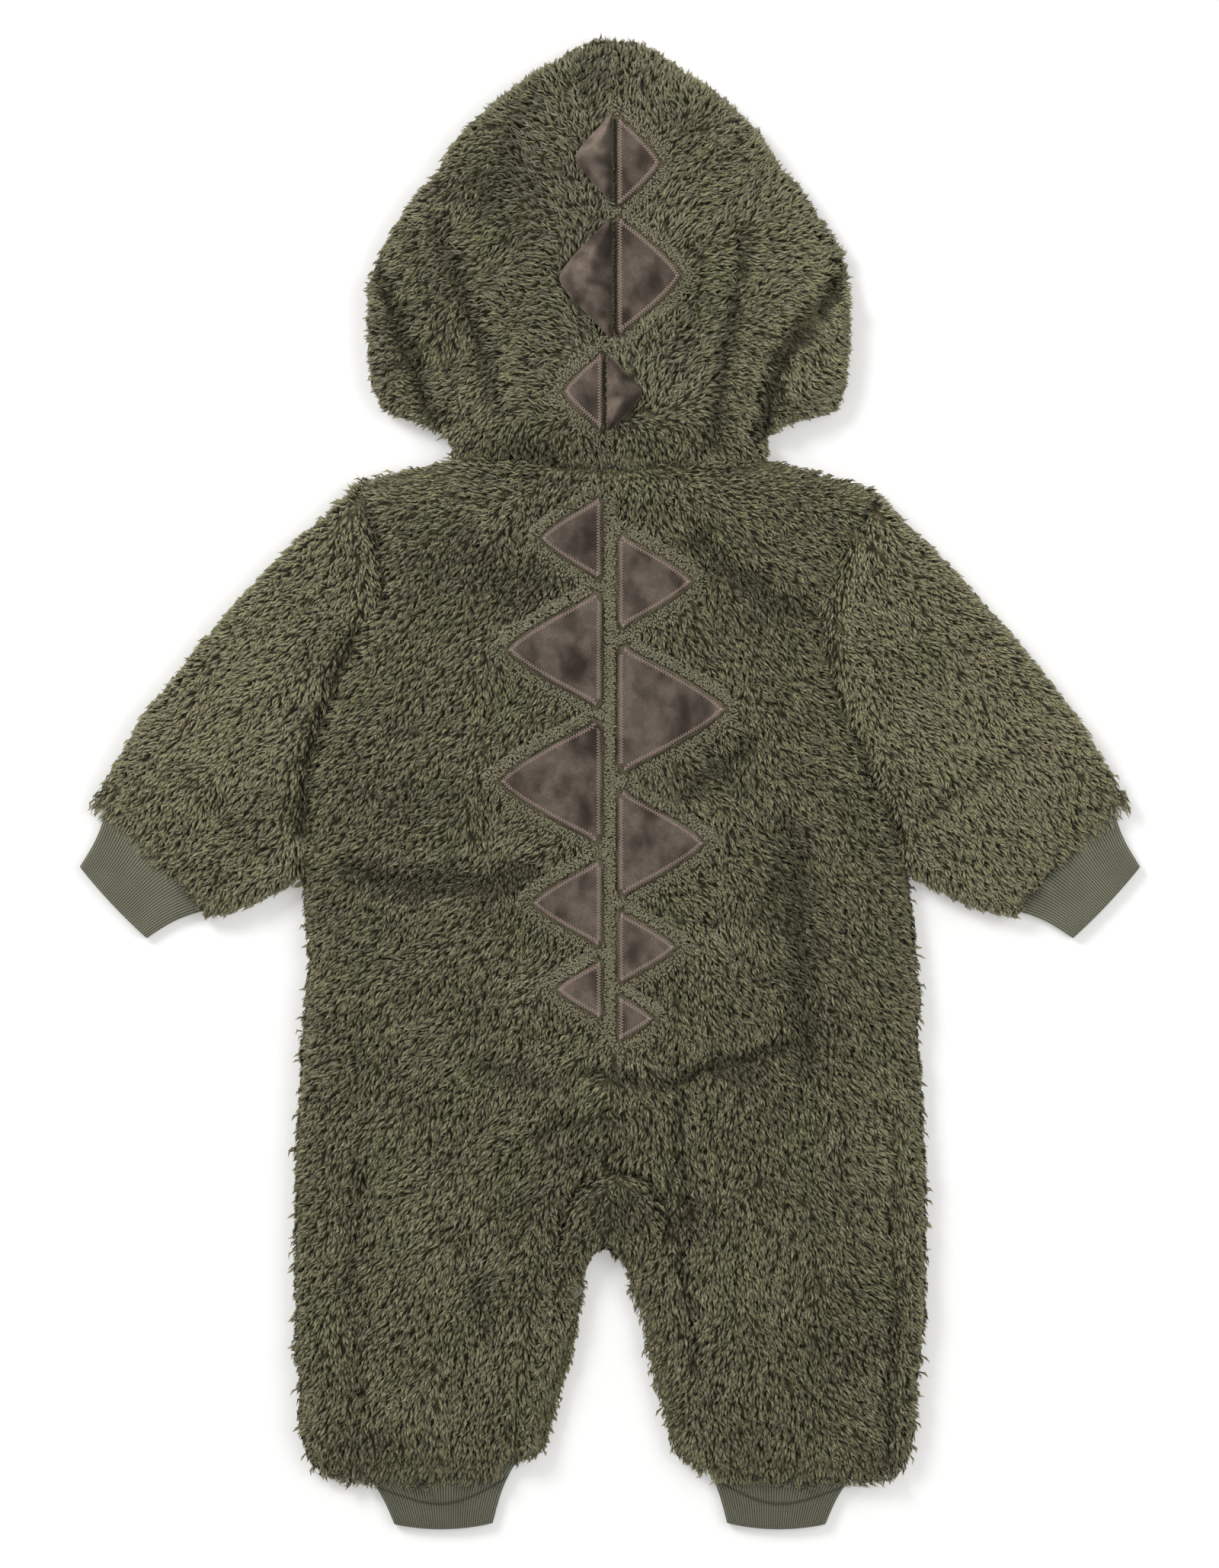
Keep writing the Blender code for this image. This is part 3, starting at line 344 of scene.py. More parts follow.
# Fleece backing
# The backing is the CAD wall with its outer face let down by the depth of the pile, a
# closed thin shell. Beside the velvet it keeps its level, where the pile is combed short.
PILE_DEPTH = 3.5 * MM
LEAST_WALL = 1.4 * MM
RIM_INSET = 2.4 * MM
SEAM_REACH = 1.2 * MM
SEAM_CLOSING = 0.12 * MM
VELVET_STEP = 0.25 * MM  # how far the velvet's ground is let down
FACES_UP = 0.3  # least upward part of a normal on the upper side
UPPER_NODES = ("back_panel", "inseam_placket_over")
LOWER_NODES = ("front_left", "front_right", "front_placket", "inseam_placket_under")
TUBE_NODES = ("sleeve_left", "sleeve_right", "hood_left", "hood_right", "crotch_gusset")
CUFF_NODES = ("wrist_cuff_left", "wrist_cuff_right", "ankle_cuff_left", "ankle_cuff_right")


def merged_copy(node):
    """The node's mesh with its points joined, for measuring and for new pieces."""
    copy = bmesh.new()
    copy.from_mesh(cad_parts[node].data)
    bmesh.ops.remove_doubles(copy, verts=copy.verts, dist=0.002 * MM)
    copy.normal_update()
    return copy


solid_trees = {}
for node in UPPER_NODES + LOWER_NODES + TUBE_NODES + CUFF_NODES:
    solid = merged_copy(node)
    solid_trees[node] = BVHTree.FromBMesh(solid)
    solid.free()


def is_sewn(vertex, others):
    """Whether another piece is sewn on beside this point, and not just lies under it."""
    for solid in others:
        spot = solid.find_nearest(vertex.co, SEAM_REACH)[0]
        if spot and (spot - vertex.co).dot(vertex.normal) > 0.6 * (spot - vertex.co).length:
            return True
    return False


def divide_by_velvet_and_creases(shell):
    """Divides the upper face's long edges where its level changes."""
    for _ in range(3):
        middles = np.array([((e.verts[0].co + e.verts[1].co) / 2).to_2d() for e in shell.edges])
        lengths = np.array([e.calc_length() for e in shell.edges])
        top = np.array([min(v.normal.z for v in e.verts) for e in shell.edges])
        near = (gap_to_velvet(middles)[0] < 8 * MM) & (lengths > 3 * MM)
        near |= (crease_at(*middles.T)[0] > 0.5 * MM) & (lengths > 5 * MM)
        shell.edges.ensure_lookup_table()
        cut = [shell.edges[int(k)] for k in np.nonzero(near & (top > FACES_UP))[0]]
        if cut:
            bmesh.ops.subdivide_edges(shell, edges=cut, cuts=1)
            bmesh.ops.triangulate(shell, faces=shell.faces)
    shell.normal_update()


def lowered_shell(node):
    """The CAD wall with its outer face let down into the pile, as a finished mesh."""
    shell = merged_copy(node)
    others = [solid for other, solid in solid_trees.items() if other != node]
    if node == "back_panel" or node in TUBE_NODES:
        divide_by_velvet_and_creases(shell)
    tree_of_faces = BVHTree.FromBMesh(shell)
    spots = np.array([v.co.to_2d() for v in shell.verts])
    clear = eased((gap_to_velvet(spots)[0] - 1.0 * MM) / (6 * MM))
    depth = VELVET_STEP + clear * (PILE_DEPTH + crease_at(*spots.T)[0])
    shorn = shell.verts.layers.float.new("shorn")
    moves = []
    for vertex, fall, far in zip(shell.verts, depth, gap_to_velvet(spots)[0]):
        facing = vertex.normal
        vertex[shorn] = 1.0 - float(eased((far - 4 * MM) / (4 * MM)))
        if node in LOWER_NODES or facing.z < -FACES_UP:
            continue
        # The inside of a tube's slit stays as it is
        way = Vector((0, 0, 1)) if facing.z > FACES_UP else facing
        if node in TUBE_NODES and tree_of_faces.ray_cast(vertex.co + facing * 0.4 * MM, way, 25 * MM)[0]:
            continue
        below = tree_of_faces.ray_cast(vertex.co - Vector((0, 0, 0.05 * MM)), Vector((0, 0, -1)))
        if facing.z < FACES_UP:
            moves.append((vertex, 0.0))
        elif below[0]:
            moves.append((vertex, min(fall, max(0.0, below[3] - LEAST_WALL))))
    # The rims draw in under the pile, but close up where another piece is sewn on
    for vertex, down in moves:
        inwards = vertex.normal.to_2d() * (-SEAM_CLOSING if is_sewn(vertex, others) else RIM_INSET)
        vertex.co -= Vector((inwards.x, inwards.y, down))
    shell.normal_update()
    mesh = bpy.data.meshes.new(node + "_cloth")
    shell.to_mesh(mesh)
    shell.free()
    return mesh


def add_piece(name, mesh, material, slot, *replaced):
    """Links a finished mesh, rides it on the garment and hides the CAD parts it stands for."""
    piece = bpy.data.objects.new(name, mesh)
    bpy.context.scene.collection.objects.link(piece)
    mesh.materials.append(material)
    mesh.shade_smooth()
    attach(piece, "root")
    if replaced:
        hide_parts(*replaced)
    return piece


cloths = {}
for node in UPPER_NODES + LOWER_NODES + TUBE_NODES:
    cloths[node] = add_piece(node + "_cloth", lowered_shell(node), backing, "pile_fleece", node)


# Pile
# The fleece carries a long brushed pile that clings together in slim wavy wisps. Each
# wisp is a tapered lock rooted in the backing. The locks lie away from the middle of the
# back and out round the hood, stand up in patches with painted shade, and are short by the velvet.
LOCKS_PER_M2 = 508_000
LOCK_LENGTH = 9.4 * MM
LOCK_WIDTH = 1.25 * MM
ROOT_DEPTH = 3.2 * MM
ROOT_COVER = 0.7 * MM
WISP = 2.1 * MM  # how far apart the wisps stand that the locks cling together in
MARGIN = 5.0 * MM  # width of the short pale pile round the velvet
MARGIN_LENGTH = 3.2 * MM
SHORN_PER_M2 = 1_000_000  # more locks stand in the short pile round the velvet
SMALLEST_HEIGHT = 0.3 * MM
FIN_COVER = 6.0 * MM  # how far the pile runs in under a fin
ANKLE_HEM = -326.0 * MM  # where the legs' hems begin, down the garment
WRIST_HEM = 208.0 * MM  # where the sleeves' hems begin, out from the middle
WRIST_WAY = (0.72, -0.69)  # from the right sleeve's hem to its cuff
TRIES_A_CELL = 3
SOFTNESS = 0.5  # share of a lock's own normal against the cloth's
# Painted light and shade on each panel's pile, from 0 for dark to 1 for light
PANEL_PAINTED_LIGHT = {
    "back_panel": 0.46, "sleeve_left": 0.68, "sleeve_right": 0.75, "hood_left": 0.39, "hood_right": 0.56,
    "crotch_gusset": 0.45,
}

# Where the pile stands up and gets painted shade, and below 0 where it lies combed and gets painted light
PILE_PATCHES = (
    # amount, half length, half width, turn in degrees, place (x, y), in mm as the creases
    (1.0, 30, 12, 0, (-51, 656)), (0.8, 15, 11, 70, (36, 680)), (0.9, 26, 7, 100, (-101, 577)),
    (0.7, 26, 8, 105, (-72, 602)), (0.8, 14, 12, 0, (50, 583)), (0.9, 16, 10, 60, (78, 550)),
    (-1.0, 34, 20, 100, (98, 625)), (-0.9, 30, 14, 95, (106, 565)), (-0.7, 26, 12, 10, (-58, 552)),
    (-0.5, 22, 10, 40, (-98, 640)), (0.8, 22, 8, 35, (-47, 521)), (0.7, 22, 10, 0, (30, 528)),
    (0.8, 14, 10, 60, (-121, 480)), (0.8, 20, 11, 60, (-36, 461)), (0.9, 42, 13, -35, (56, 468)),
    (1.0, 34, 9, 80, (-140, 410)), (1.0, 16, 14, 0, (-164, 356)), (0.9, 18, 10, 30, (-185, 327)),
    (-1.0, 34, 24, 50, (-185, 390)), (1.1, 50, 12, 0, (-78, 318)), (0.6, 36, 10, 5, (-84, 358)),
    (1.0, 24, 9, 35, (48, 373)), (0.9, 52, 13, 95, (89, 290)), (-0.8, 16, 16, 0, (54, 297)),
    (-0.7, 14, 44, 0, (1, 284)), (1.0, 44, 9, 15, (68, 232)), (0.9, 18, 14, 0, (-10, 190)),
    (1.0, 20, 16, 0, (2, 158)), (0.6, 16, 12, 0, (-43, 164)), (0.9, 18, 13, 0, (143, 424)),
    (-1.0, 40, 30, -45, (190, 386)), (0.9, 28, 8, 110, (138, 352)), (0.5, 26, 9, 90, (-129, 232)),
    (0.8, 22, 10, 0, (-117, 45)), (0.6, 44, 9, 30, (-60, 112)), (-0.5, 22, 18, 0, (-92, 68)),
    (0.7, 11, 9, 0, (109, 90)), (0.6, 12, 10, 0, (39, 156)), (-0.8, 40, 14, 90, (132, 200)),
    (0.7, 22, 9, 40, (130, 38)), (0.5, 30, 10, 60, (20, 330)), (-0.4, 24, 16, 0, (70, 130)),
    (0.7, 34, 24, 0, (-67, 473)), (0.6, 26, 18, 0, (-4, 703)), (-0.4, 60, 44, 90, (-84, 118)),
)


def patch_at(x, y):
    """How far the pile stands up or lies flat in the patches, about -1 to 1."""
    total = np.zeros(len(x))
    blur = 5 * MM * waves(x, y, 20 * MM, 91), 5 * MM * waves(x, y, 20 * MM, 92)
    for amount, length, width, turn, (at_x, at_y) in PILE_PATCHES:
        turn = math.radians(turn)
        from_x, from_y = x + blur[0] - at_x * MM, y + blur[1] - (at_y - HEM_LEVEL) * MM
        along = (from_x * math.cos(turn) + from_y * math.sin(turn)) / (length * MM)
        across = (from_y * math.cos(turn) - from_x * math.sin(turn)) / (width * MM)
        total += amount * np.exp(-1.2 * (along ** 2 + across ** 2))
    return np.clip(total, -1, 1)


def way_of_pile(x, y, node):
    """Angle of the pile from straight down the garment, positive towards +X."""
    across = np.abs(x)
    if node.startswith("hood"):
        top = eased((y - 300 * MM) / (50 * MM))
        low = eased((186 * MM - y) / (20 * MM)) * (1 - eased((across - 60 * MM) / (16 * MM)))
        if node == "hood_left":
            angle = -150 + 95 * eased(across / (62 * MM))
            angle = angle + top * (-175 - angle) * 0.8
            return np.radians(angle + low * (-20 - angle))
        angle = 150 - 38 * eased(across / (62 * MM))
        outer = 50 + 80 * eased((y - 180 * MM) / (130 * MM))
        angle = angle + eased((across - 45 * MM) / (30 * MM)) * (outer - angle)
        angle = angle + top * (165 - angle) * 0.8
        return np.radians(angle + low * (20 - angle))
    if node.startswith("sleeve"):
        return np.radians(np.sign(x) * (44 - 10 * eased((across - 200 * MM) / (40 * MM))))
    torso = 40 * eased(across / (45 * MM))
    left_leg = 30 - 16 * eased((-200 * MM - y) / (110 * MM))
    right_leg = 6 + 20 * eased((across - 60 * MM) / (70 * MM))
    leg = np.where(x < 0, left_leg, right_leg)
    share = eased((y + 170 * MM) / (110 * MM))
    return np.radians(np.sign(x) * (leg + (torso - leg) * share))


def unit(vectors):
    return vectors / np.maximum(np.linalg.norm(vectors, axis=1), 1e-9)[:, None]


def surface_samples(node, density, rng, keep):
    """Evenly scattered points on the faces of the node that keep() picks, with smooth normals."""
    cad = merged_copy(node)
    bmesh.ops.triangulate(cad, faces=cad.faces)
    cad.verts.ensure_lookup_table()
    corners = np.array([[v.index for v in f.verts] for f in cad.faces])
    points = np.array([v.co for v in cad.verts])
    normals = np.array([v.normal for v in cad.verts])
    cad.free()
    corner_points = points[corners]
    cross = np.cross(corner_points[:, 1] - corner_points[:, 0], corner_points[:, 2] - corner_points[:, 0])
    areas = np.linalg.norm(cross, axis=1) / 2
    facing = cross / np.maximum(areas * 2, 1e-12)[:, None]
    areas = areas * keep(corner_points.mean(axis=1), facing)
    count = int(areas.sum() * density * TRIES_A_CELL)
    chosen = rng.choice(len(areas), count, p=areas / areas.sum())
    u, v = rng.random((2, count))
    turned = u + v > 1
    u[turned], v[turned] = 1 - u[turned], 1 - v[turned]
    weights = np.stack([1 - u - v, u, v], axis=1)[:, :, None]
    where = (corner_points[chosen] * weights).sum(axis=1)
    normal = (normals[corners[chosen]] * weights).sum(axis=1) + facing[chosen] * 0.6
    # One root stands in each cell of a fine grid, so that no gaps are left between them
    cells = np.floor(where * math.sqrt(density)).astype(np.int64) @ (10 ** 8, 10 ** 4, 1)
    first = np.unique(cells, return_index=True)[1]
    return where[first], unit(normal[first])


def joined_mesh(name, points, faces):
    """Many small closed forms as one mesh, from the points of each and the faces they share."""
    count, size = points.shape[:2]
    corners = (np.array(faces)[None] + size * np.arange(count)[:, None, None]).astype(np.int32)
    mesh = bpy.data.meshes.new(name)
    mesh.vertices.add(count * size)
    mesh.vertices.foreach_set("co", points.astype(np.float32).ravel())
    mesh.loops.add(corners.size)
    mesh.loops.foreach_set("vertex_index", corners.ravel())
    mesh.polygons.add(len(faces) * count)
    mesh.polygons.foreach_set("loop_start", np.arange(0, corners.size, len(faces[0]), dtype=np.int32))
    mesh.update(calc_edges=True)
    return mesh


def lock_mesh(name, spine, side, up, width, painted_light_and_tone, tint):
    """One joined mesh of three-sided locks, each bent once between its root and its tip."""
    count = len(width)
    half = width[:, None] / 2
    root, bend, tip = spine
    rings = np.stack([root, bend - side * half, bend + side * half, bend + up * half * 0.55, tip], axis=1)
    faces = [(2, 1, 0), (3, 2, 0), (1, 3, 0), (1, 2, 4), (2, 3, 4), (3, 1, 4)]
    mesh = joined_mesh(name, rings, faces)
    # How far along and across the lock each point is, its painted light and tone, and its hue
    shades = np.zeros((count, 5, 4), np.float32)
    shades[:, :, 0] = (0.0, 0.6, 0.6, 0.65, 1.0)
    shades[:, :, 1] = (0.5, 0.0, 1.0, 0.5, 0.5)
    shades[:, :, 2] = painted_light_and_tone[:, None]
    shades[:, :, 3] = tint[:, None]
    layer = mesh.attributes.new("lock", "FLOAT_COLOR", "POINT")
    layer.data.foreach_set("color", shades.ravel())
    ground = mesh.attributes.new("ground", "FLOAT_VECTOR", "POINT")
    ground.data.foreach_set("vector", np.repeat(up, 5, axis=0).astype(np.float32).ravel())
    return mesh


pile, tree, shader = new_material("fleece_pile", 0.9, sheen=0.35, sheen_roughness=0.4,
                                  sheen_tint=(0.86, 0.83, 0.62))
shader.inputs["Subsurface Weight"].default_value = 0.6
shader.inputs["Subsurface Radius"].default_value = (1.0, 0.9, 0.65)
shader.inputs["Subsurface Scale"].default_value = 2.2 * MM
lock = add_node(tree, "ShaderNodeAttribute", attribute_name="lock")
parts = add_node(tree, "ShaderNodeSeparateColor")
join(tree, lock.outputs["Color"], parts.inputs["Color"])
along, across, painted_light_and_tone = (parts.outputs[k] for k in range(3))
strand_place = add_node(tree, "ShaderNodeCombineXYZ")
join(tree, sums(tree, "MULTIPLY", across, 6.0), strand_place.inputs[0])
join(tree, sums(tree, "MULTIPLY", along, 1.4), strand_place.inputs[1])
join(tree, sums(tree, "MULTIPLY", painted_light_and_tone, 90.0), strand_place.inputs[2])
strands = add_node(tree, "ShaderNodeTexNoise")
strands.inputs["Scale"].default_value = 1.0
strands.inputs["Detail"].default_value = 2.0
join(tree, strand_place.outputs[0], strands.inputs["Vector"])
colour = blended(tree, lock.outputs["Alpha"], OLIVE, TAUPE)
# Painted shade darkens each lock towards its root, and the tips are paler
light = ranged(tree, along, 0.1, 0.9, 0.48, 1.16)
light = sums(tree, "MULTIPLY", light, ranged(tree, painted_light_and_tone, 0.0, 1.0, 0.44, 1.58))
light = sums(tree, "MULTIPLY", light, ranged(tree, strands.outputs["Fac"], 0.3, 0.7, 0.66, 1.34))
join(tree, blended(tree, 1.0, colour, light, "MULTIPLY"), shader.inputs["Base Color"])
# A lock is a bundle of soft fibres, so it takes the light partly as the cloth under it does
own = add_node(tree, "ShaderNodeNewGeometry")
ground = add_node(tree, "ShaderNodeAttribute", attribute_name="ground")
lean = add_node(tree, "ShaderNodeVectorMath", operation="MULTIPLY_ADD")
join(tree, own.outputs["Normal"], lean.inputs[0])
lean.inputs[1].default_value = (SOFTNESS,) * 3
join(tree, ground.outputs["Vector"], lean.inputs[2])
soft = add_node(tree, "ShaderNodeVectorMath", operation="NORMALIZE")
join(tree, lean.outputs[0], soft.inputs[0])
raised(tree, shader, strands.outputs["Fac"], 0.5 * MM, 0.5)
join(tree, soft.outputs[0], shader.inputs["Normal"].links[0].from_node.inputs["Normal"])


def clump_centres(points, pitch):
    """The nearest centre of an uneven grid, how far off it is, and its own two chances."""
    cell = np.floor(points / pitch)
    best = np.full(len(points), 9.0)
    centres, luck = np.zeros_like(points), np.zeros_like(points)
    for step in ((i, j) for i in (-1, 0, 1) for j in (-1, 0, 1)):
        key = cell + step
        shift = np.stack([np.sin(key @ (12.99, 78.23)), np.sin(key @ (39.35, 11.14))], axis=1)
        shift = shift * 43758.5 % 1.0
        centre = (key + 0.1 + 0.8 * shift) * pitch
        far = np.hypot(*(points - centre).T) / pitch
        closer = far < best
        best[closer], centres[closer], luck[closer] = far[closer], centre[closer], shift[closer]
    return centres, best, luck * 2 - 1


def roots_that_show(node, where, normal, gap):
    """Leaves out roots under the velvet, under another panel and in a sleeve's seam."""
    flat = where[:, :2]
    show = (gap > 0.1 * MM) & (gap_to_velvet(flat, FINS)[0] > -FIN_COVER)
    if node in LOWER_NODES:
        above = [solid_trees[other] for other in ("back_panel", *TUBE_NODES)]
        covered = [any(solid.ray_cast(Vector(spot), Vector((0, 0, 1)))[0] for solid in above)
                   for spot in where + normal * 0.3 * MM]
        show &= ~(np.array(covered) & (normal[:, 2] > 0.1))
    if node.startswith("sleeve"):
        towards_cuff = normal[:, 0] * np.sign(flat[:, 0]) * WRIST_WAY[0] + normal[:, 1] * WRIST_WAY[1]
        show &= ~((np.abs(flat[:, 0]) > WRIST_HEM) & (towards_cuff > 0.8) & (normal[:, 2] < 0.25))
    return show


def raise_to_backing(node, root, normal):
    """Lifts the roots where the wall thins out at a seam, and the backing lies higher."""
    mesh = cloths[node].data
    faces = [tuple(face.vertices) for face in mesh.polygons]
    cloth = BVHTree.FromPolygons([v.co for v in mesh.vertices], faces)
    reach = 9 * MM
    for k in np.nonzero(normal[:, 2] > FACES_UP)[0]:
        hit = cloth.ray_cast(Vector((*root[k, :2], root[k, 2] + reach)), Vector((0, 0, -1)), reach)
        if hit[0]:
            root[k, 2] = max(root[k, 2], min(hit[0].z - ROOT_COVER, root[k, 2] + ROOT_DEPTH))


def combed_pile(name, node, seed, keep, density=LOCKS_PER_M2):
    """Locks over part of a panel, as one piece."""
    rng = np.random.default_rng(seed)
    where, normal = surface_samples(node, density, rng, keep)
    if node in ("back_panel", "hood_left", "hood_right"):
        more, its_normal = surface_samples(node, SHORN_PER_M2, rng, keep)
        beside = gap_to_velvet(more[:, :2])[0] < MARGIN + 1 * MM
        where, normal = np.vstack([where, more[beside]]), np.vstack([normal, its_normal[beside]])
    flat = where[:, :2]
    gap, out = gap_to_velvet(flat)
    # Where the roots stand, and how far each is in the short margin round the velvet
    show = roots_that_show(node, where, normal, gap)
    where, normal, flat, gap, out = (a[show] for a in (where, normal, flat, gap, out))
    count = len(flat)
    margin = 1.0 - eased((gap - MARGIN * 0.8) / (MARGIN * 0.6))
    centre, off_centre, luck = clump_centres(flat, WISP)
    drop, swell = (amount * (normal[:, 2] > 0.2) * (1 - margin) for amount in crease_at(*flat.T))
    where = where + np.column_stack([np.zeros((count, 2)), swell - drop])
    x, y = centre.T
    # How upright the pile stands here, and which way it lies
    curly = 0.42 if node.startswith("hood") else 0.24
    patch = patch_at(x, y) * (normal[:, 2] > 0)
    stands = 0.22 if node.startswith("sleeve") else 0.34
    stands = stands + 0.14 * waves(x, y, 70 * MM, 11) + 0.16 * waves(x, y, 26 * MM, 12)
    stands = eased(stands + 0.5 * patch)
    angle = way_of_pile(x, y, node) + curly * waves(x, y, 34 * MM, 13)
    angle += curly * 0.4 * waves(x, y, 12 * MM, 14)
    angle += luck[:, 0] * (0.10 + 0.26 * stands) + rng.normal(0, 0.08 + 0.10 * stands, count)
    way = np.stack([np.sin(angle), -np.cos(angle)], axis=1)
    way = way * (1 - 0.7 * margin)[:, None] + out * margin[:, None] * 0.8
    way = unit(np.column_stack([way, np.zeros(count)]))
    way = unit(way + np.column_stack([normal[:, :2], np.zeros(count)]) * 1.7)
    flow = unit(way - normal * (way * normal).sum(axis=1)[:, None])
    side = unit(np.cross(normal, flow))
    # How long and wide the locks are
    length = LOCK_LENGTH * (1 + 0.16 * luck[:, 1]) * rng.uniform(0.9, 1.1, count) * (1 - 0.18 * stands)
    rim = np.hypot(normal[:, 0], normal[:, 1])
    ankle_hem = rim * eased((ANKLE_HEM - y) / (6 * MM))
    wrist_hem = eased((rim - 0.2) / 0.3) * eased((np.abs(x) - WRIST_HEM) / (8 * MM)) * (y < 0)
    hem = np.clip(ankle_hem + wrist_hem, 0, 1)
    # The locks hang out over the cuffs at the hems, and are short round the other rims
    length = length * (1 - 0.30 * rim * (1 - hem) + 0.34 * hem)
    length = length * (1 - margin) + MARGIN_LENGTH * margin
    if node == "inseam_placket_under":
        length = length * 0.6
    width = LOCK_WIDTH * rng.uniform(0.8, 1.2, count) * (1 - 0.3 * margin)
    # How far they lift and curl, and how they draw together in wisps
    lift = (0.15 + 0.36 * stands + 0.07 * luck[:, 1] + rng.normal(0, 0.05, count)) + 0.34 * margin
    curl = 0.20 * luck[:, 0] + 0.16 * waves(x, y, 9 * MM, 15) + rng.normal(0, 0.12 + 0.2 * curly, count)
    lift, curl = lift[:, None], curl[:, None]
    reach = length[:, None]
    drawn = np.column_stack([centre - flat, np.zeros(count)]) * (1 - margin)[:, None]
    buried = ROOT_DEPTH * (0.4 if node in LOWER_NODES else 1.0)
    root = where - normal * (buried * (1 - 0.86 * margin))[:, None]
    raise_to_backing(node, root, normal)
    start = unit(normal * (lift + 0.3) + flow * (1 - lift * 0.5) + side * curl * 1.2)
    bend = root + start * reach * 0.64 + drawn * 0.25
    end = unit(normal * (lift * 0.6 - 0.15) + flow - side * curl * 2.2)
    tip = bend + end * reach * 0.36 + drawn * 0.35
    for ring in (root, bend, tip):
        ring[:, 2] = np.maximum(ring[:, 2], SMALLEST_HEIGHT)
    # How light they are, with painted light and shade, and how olive or taupe
    painted_light_and_tone = PANEL_PAINTED_LIGHT.get(node, 0.5) + 0.03 * waves(x, y, 18 * MM, 16) + 0.03 * waves(x, y, 52 * MM, 18)
    # Painted shade where the pile stands up and in the creases, painted light where it lies combed and on
    # the ridges beside the creases
    painted_light_and_tone = painted_light_and_tone - 0.12 * (stands - 0.4) - 0.24 * patch - 0.12 * drop / MM + 0.07 * swell / MM
    # Painted light round the rims and at the hems, and painted shade in the gaps between the wisps
    painted_light_and_tone = painted_light_and_tone + 0.20 * rim + 0.12 * hem - 0.10 * (off_centre - 0.4) + 0.04 * luck[:, 1]
    painted_light_and_tone = np.clip(painted_light_and_tone + rng.normal(0, 0.15, count), 0, 1)
    painted_light_and_tone = painted_light_and_tone * (1 - margin) + margin * rng.uniform(0.62, 1.0, count)
    tint = np.clip(0.5 + 0.30 * waves(x, y, 40 * MM, 17) + 0.08 * luck[:, 0], 0, 1)
    tint = tint * (1 - margin) + 0.8 * margin
    mesh = lock_mesh(name, (root, bend, tip), side, normal, width, painted_light_and_tone, tint)
    return add_piece(name, mesh, pile, "pile_fleece")


def upper_between(low, high):
    """Picks outer faces of an upper panel between two heights up the garment."""
    return lambda centre, facing: (facing[:, 2] > 0.12) & (centre[:, 1] > low) & (centre[:, 1] <= high)


def outside_of_tube(node):
    """Picks a tube's outer faces, but not those that rest on the floor."""
    tube = merged_copy(node)
    faces = BVHTree.FromBMesh(tube)
    tube.free()

    def keep(centre, facing):
        ways = [Vector((0, 0, 1)) if f[2] > FACES_UP else Vector(f) for f in facing]
        seen = [not faces.ray_cast(Vector(c + f * 0.3 * MM), way, 30 * MM)[0]
                for c, f, way in zip(centre, facing, ways)]
        return np.array(seen) & (facing[:, 2] > -0.8)
    return keep


def not_resting(steepest):
    """Picks all faces but those that rest on the floor."""
    return lambda centre, facing: facing[:, 2] > steepest


piles = {
    "back_panel": [
        combed_pile("back_pile_shoulders", "back_panel", 21, upper_between(20 * MM, 1.0)),
        combed_pile("back_pile_waist", "back_panel", 22, upper_between(-110 * MM, 20 * MM)),
        combed_pile("back_pile_legs", "back_panel", 23, upper_between(-230 * MM, -110 * MM)),
        combed_pile("back_pile_shins", "back_panel", 24, upper_between(-1.0, -230 * MM)),
    ],
    "front_left": [combed_pile("front_left_pile", "front_left", 25, not_resting(-0.93))],
    "front_right": [combed_pile("front_right_pile", "front_right", 26, not_resting(-0.93))],
    "inseam_placket_over": [
        combed_pile("inseam_over_pile", "inseam_placket_over", 27, upper_between(-1.0, 1.0),
                    LOCKS_PER_M2 * 1.4)
    ],
    "inseam_placket_under": [
        combed_pile("inseam_under_pile", "inseam_placket_under", 33, not_resting(-0.7))
    ],
}
for seed, node in enumerate(TUBE_NODES, 28):
    piles[node] = [combed_pile(node + "_pile", node, seed, outside_of_tube(node))]


# Rib cuffs
# The sleeves and legs end in cuffs of 1x1 rib knit, folded double at the hem and sewn to
# the fleece with the seam inside. Each is a flattened tube with its ribs along the limb.
RIB_PITCH = 1.35 * MM
RIB_RISE = 0.5 * MM
CUFF_MIDDLE = 3.15 * MM
CUFF_TOP = 6.4 * MM
CUFF_UNDER_Z = 0.05 * MM
CUFF_EDGE = 0.9 * MM
CUFF_SLIT = 0.15 * MM
CUFF_LIFT = 2.4 * MM
POINTS_A_RIB = 4
WRIST_FAR = ((258.2, 322.5), (225.5, 287.7))
WRIST_SAG = 1.0
ANKLE_NEAR = ((121.0, 29.1), (44.0, 35.5))  # a little up inside the leg
ANKLE_FAR = ((105.0, 2.4), (57.0, 3.0))
ANKLE_SAG = 2.7
ARC_LOWEST = 0.63  # share of the cuff's depth
ARC_BEND = 1.3
ARC_WIDTH = 0.05
ANKLE_PAINTED_SHADE = 0.77  # painted shade makes the ankle cuffs darker than the wrists' ones

knit, tree, shader = new_material("rib_knit", 0.85, sheen=0.25, sheen_roughness=0.5)
rib = add_node(tree, "ShaderNodeAttribute", attribute_name="rib")
rib_parts = add_node(tree, "ShaderNodeSeparateColor")
join(tree, rib.outputs["Color"], rib_parts.inputs["Color"])
crest, down, across = (rib_parts.outputs[k] for k in range(3))
row = sums(tree, "SINE", sums(tree, "MULTIPLY", down, 2 * math.pi * 48))
loops = ranged(tree, row, -1.0, 1.0, 0.0, 1.0)
knit_noise = speckle(tree, 1500.0, detail=2.0)
soft_noise = speckle(tree, 60.0)
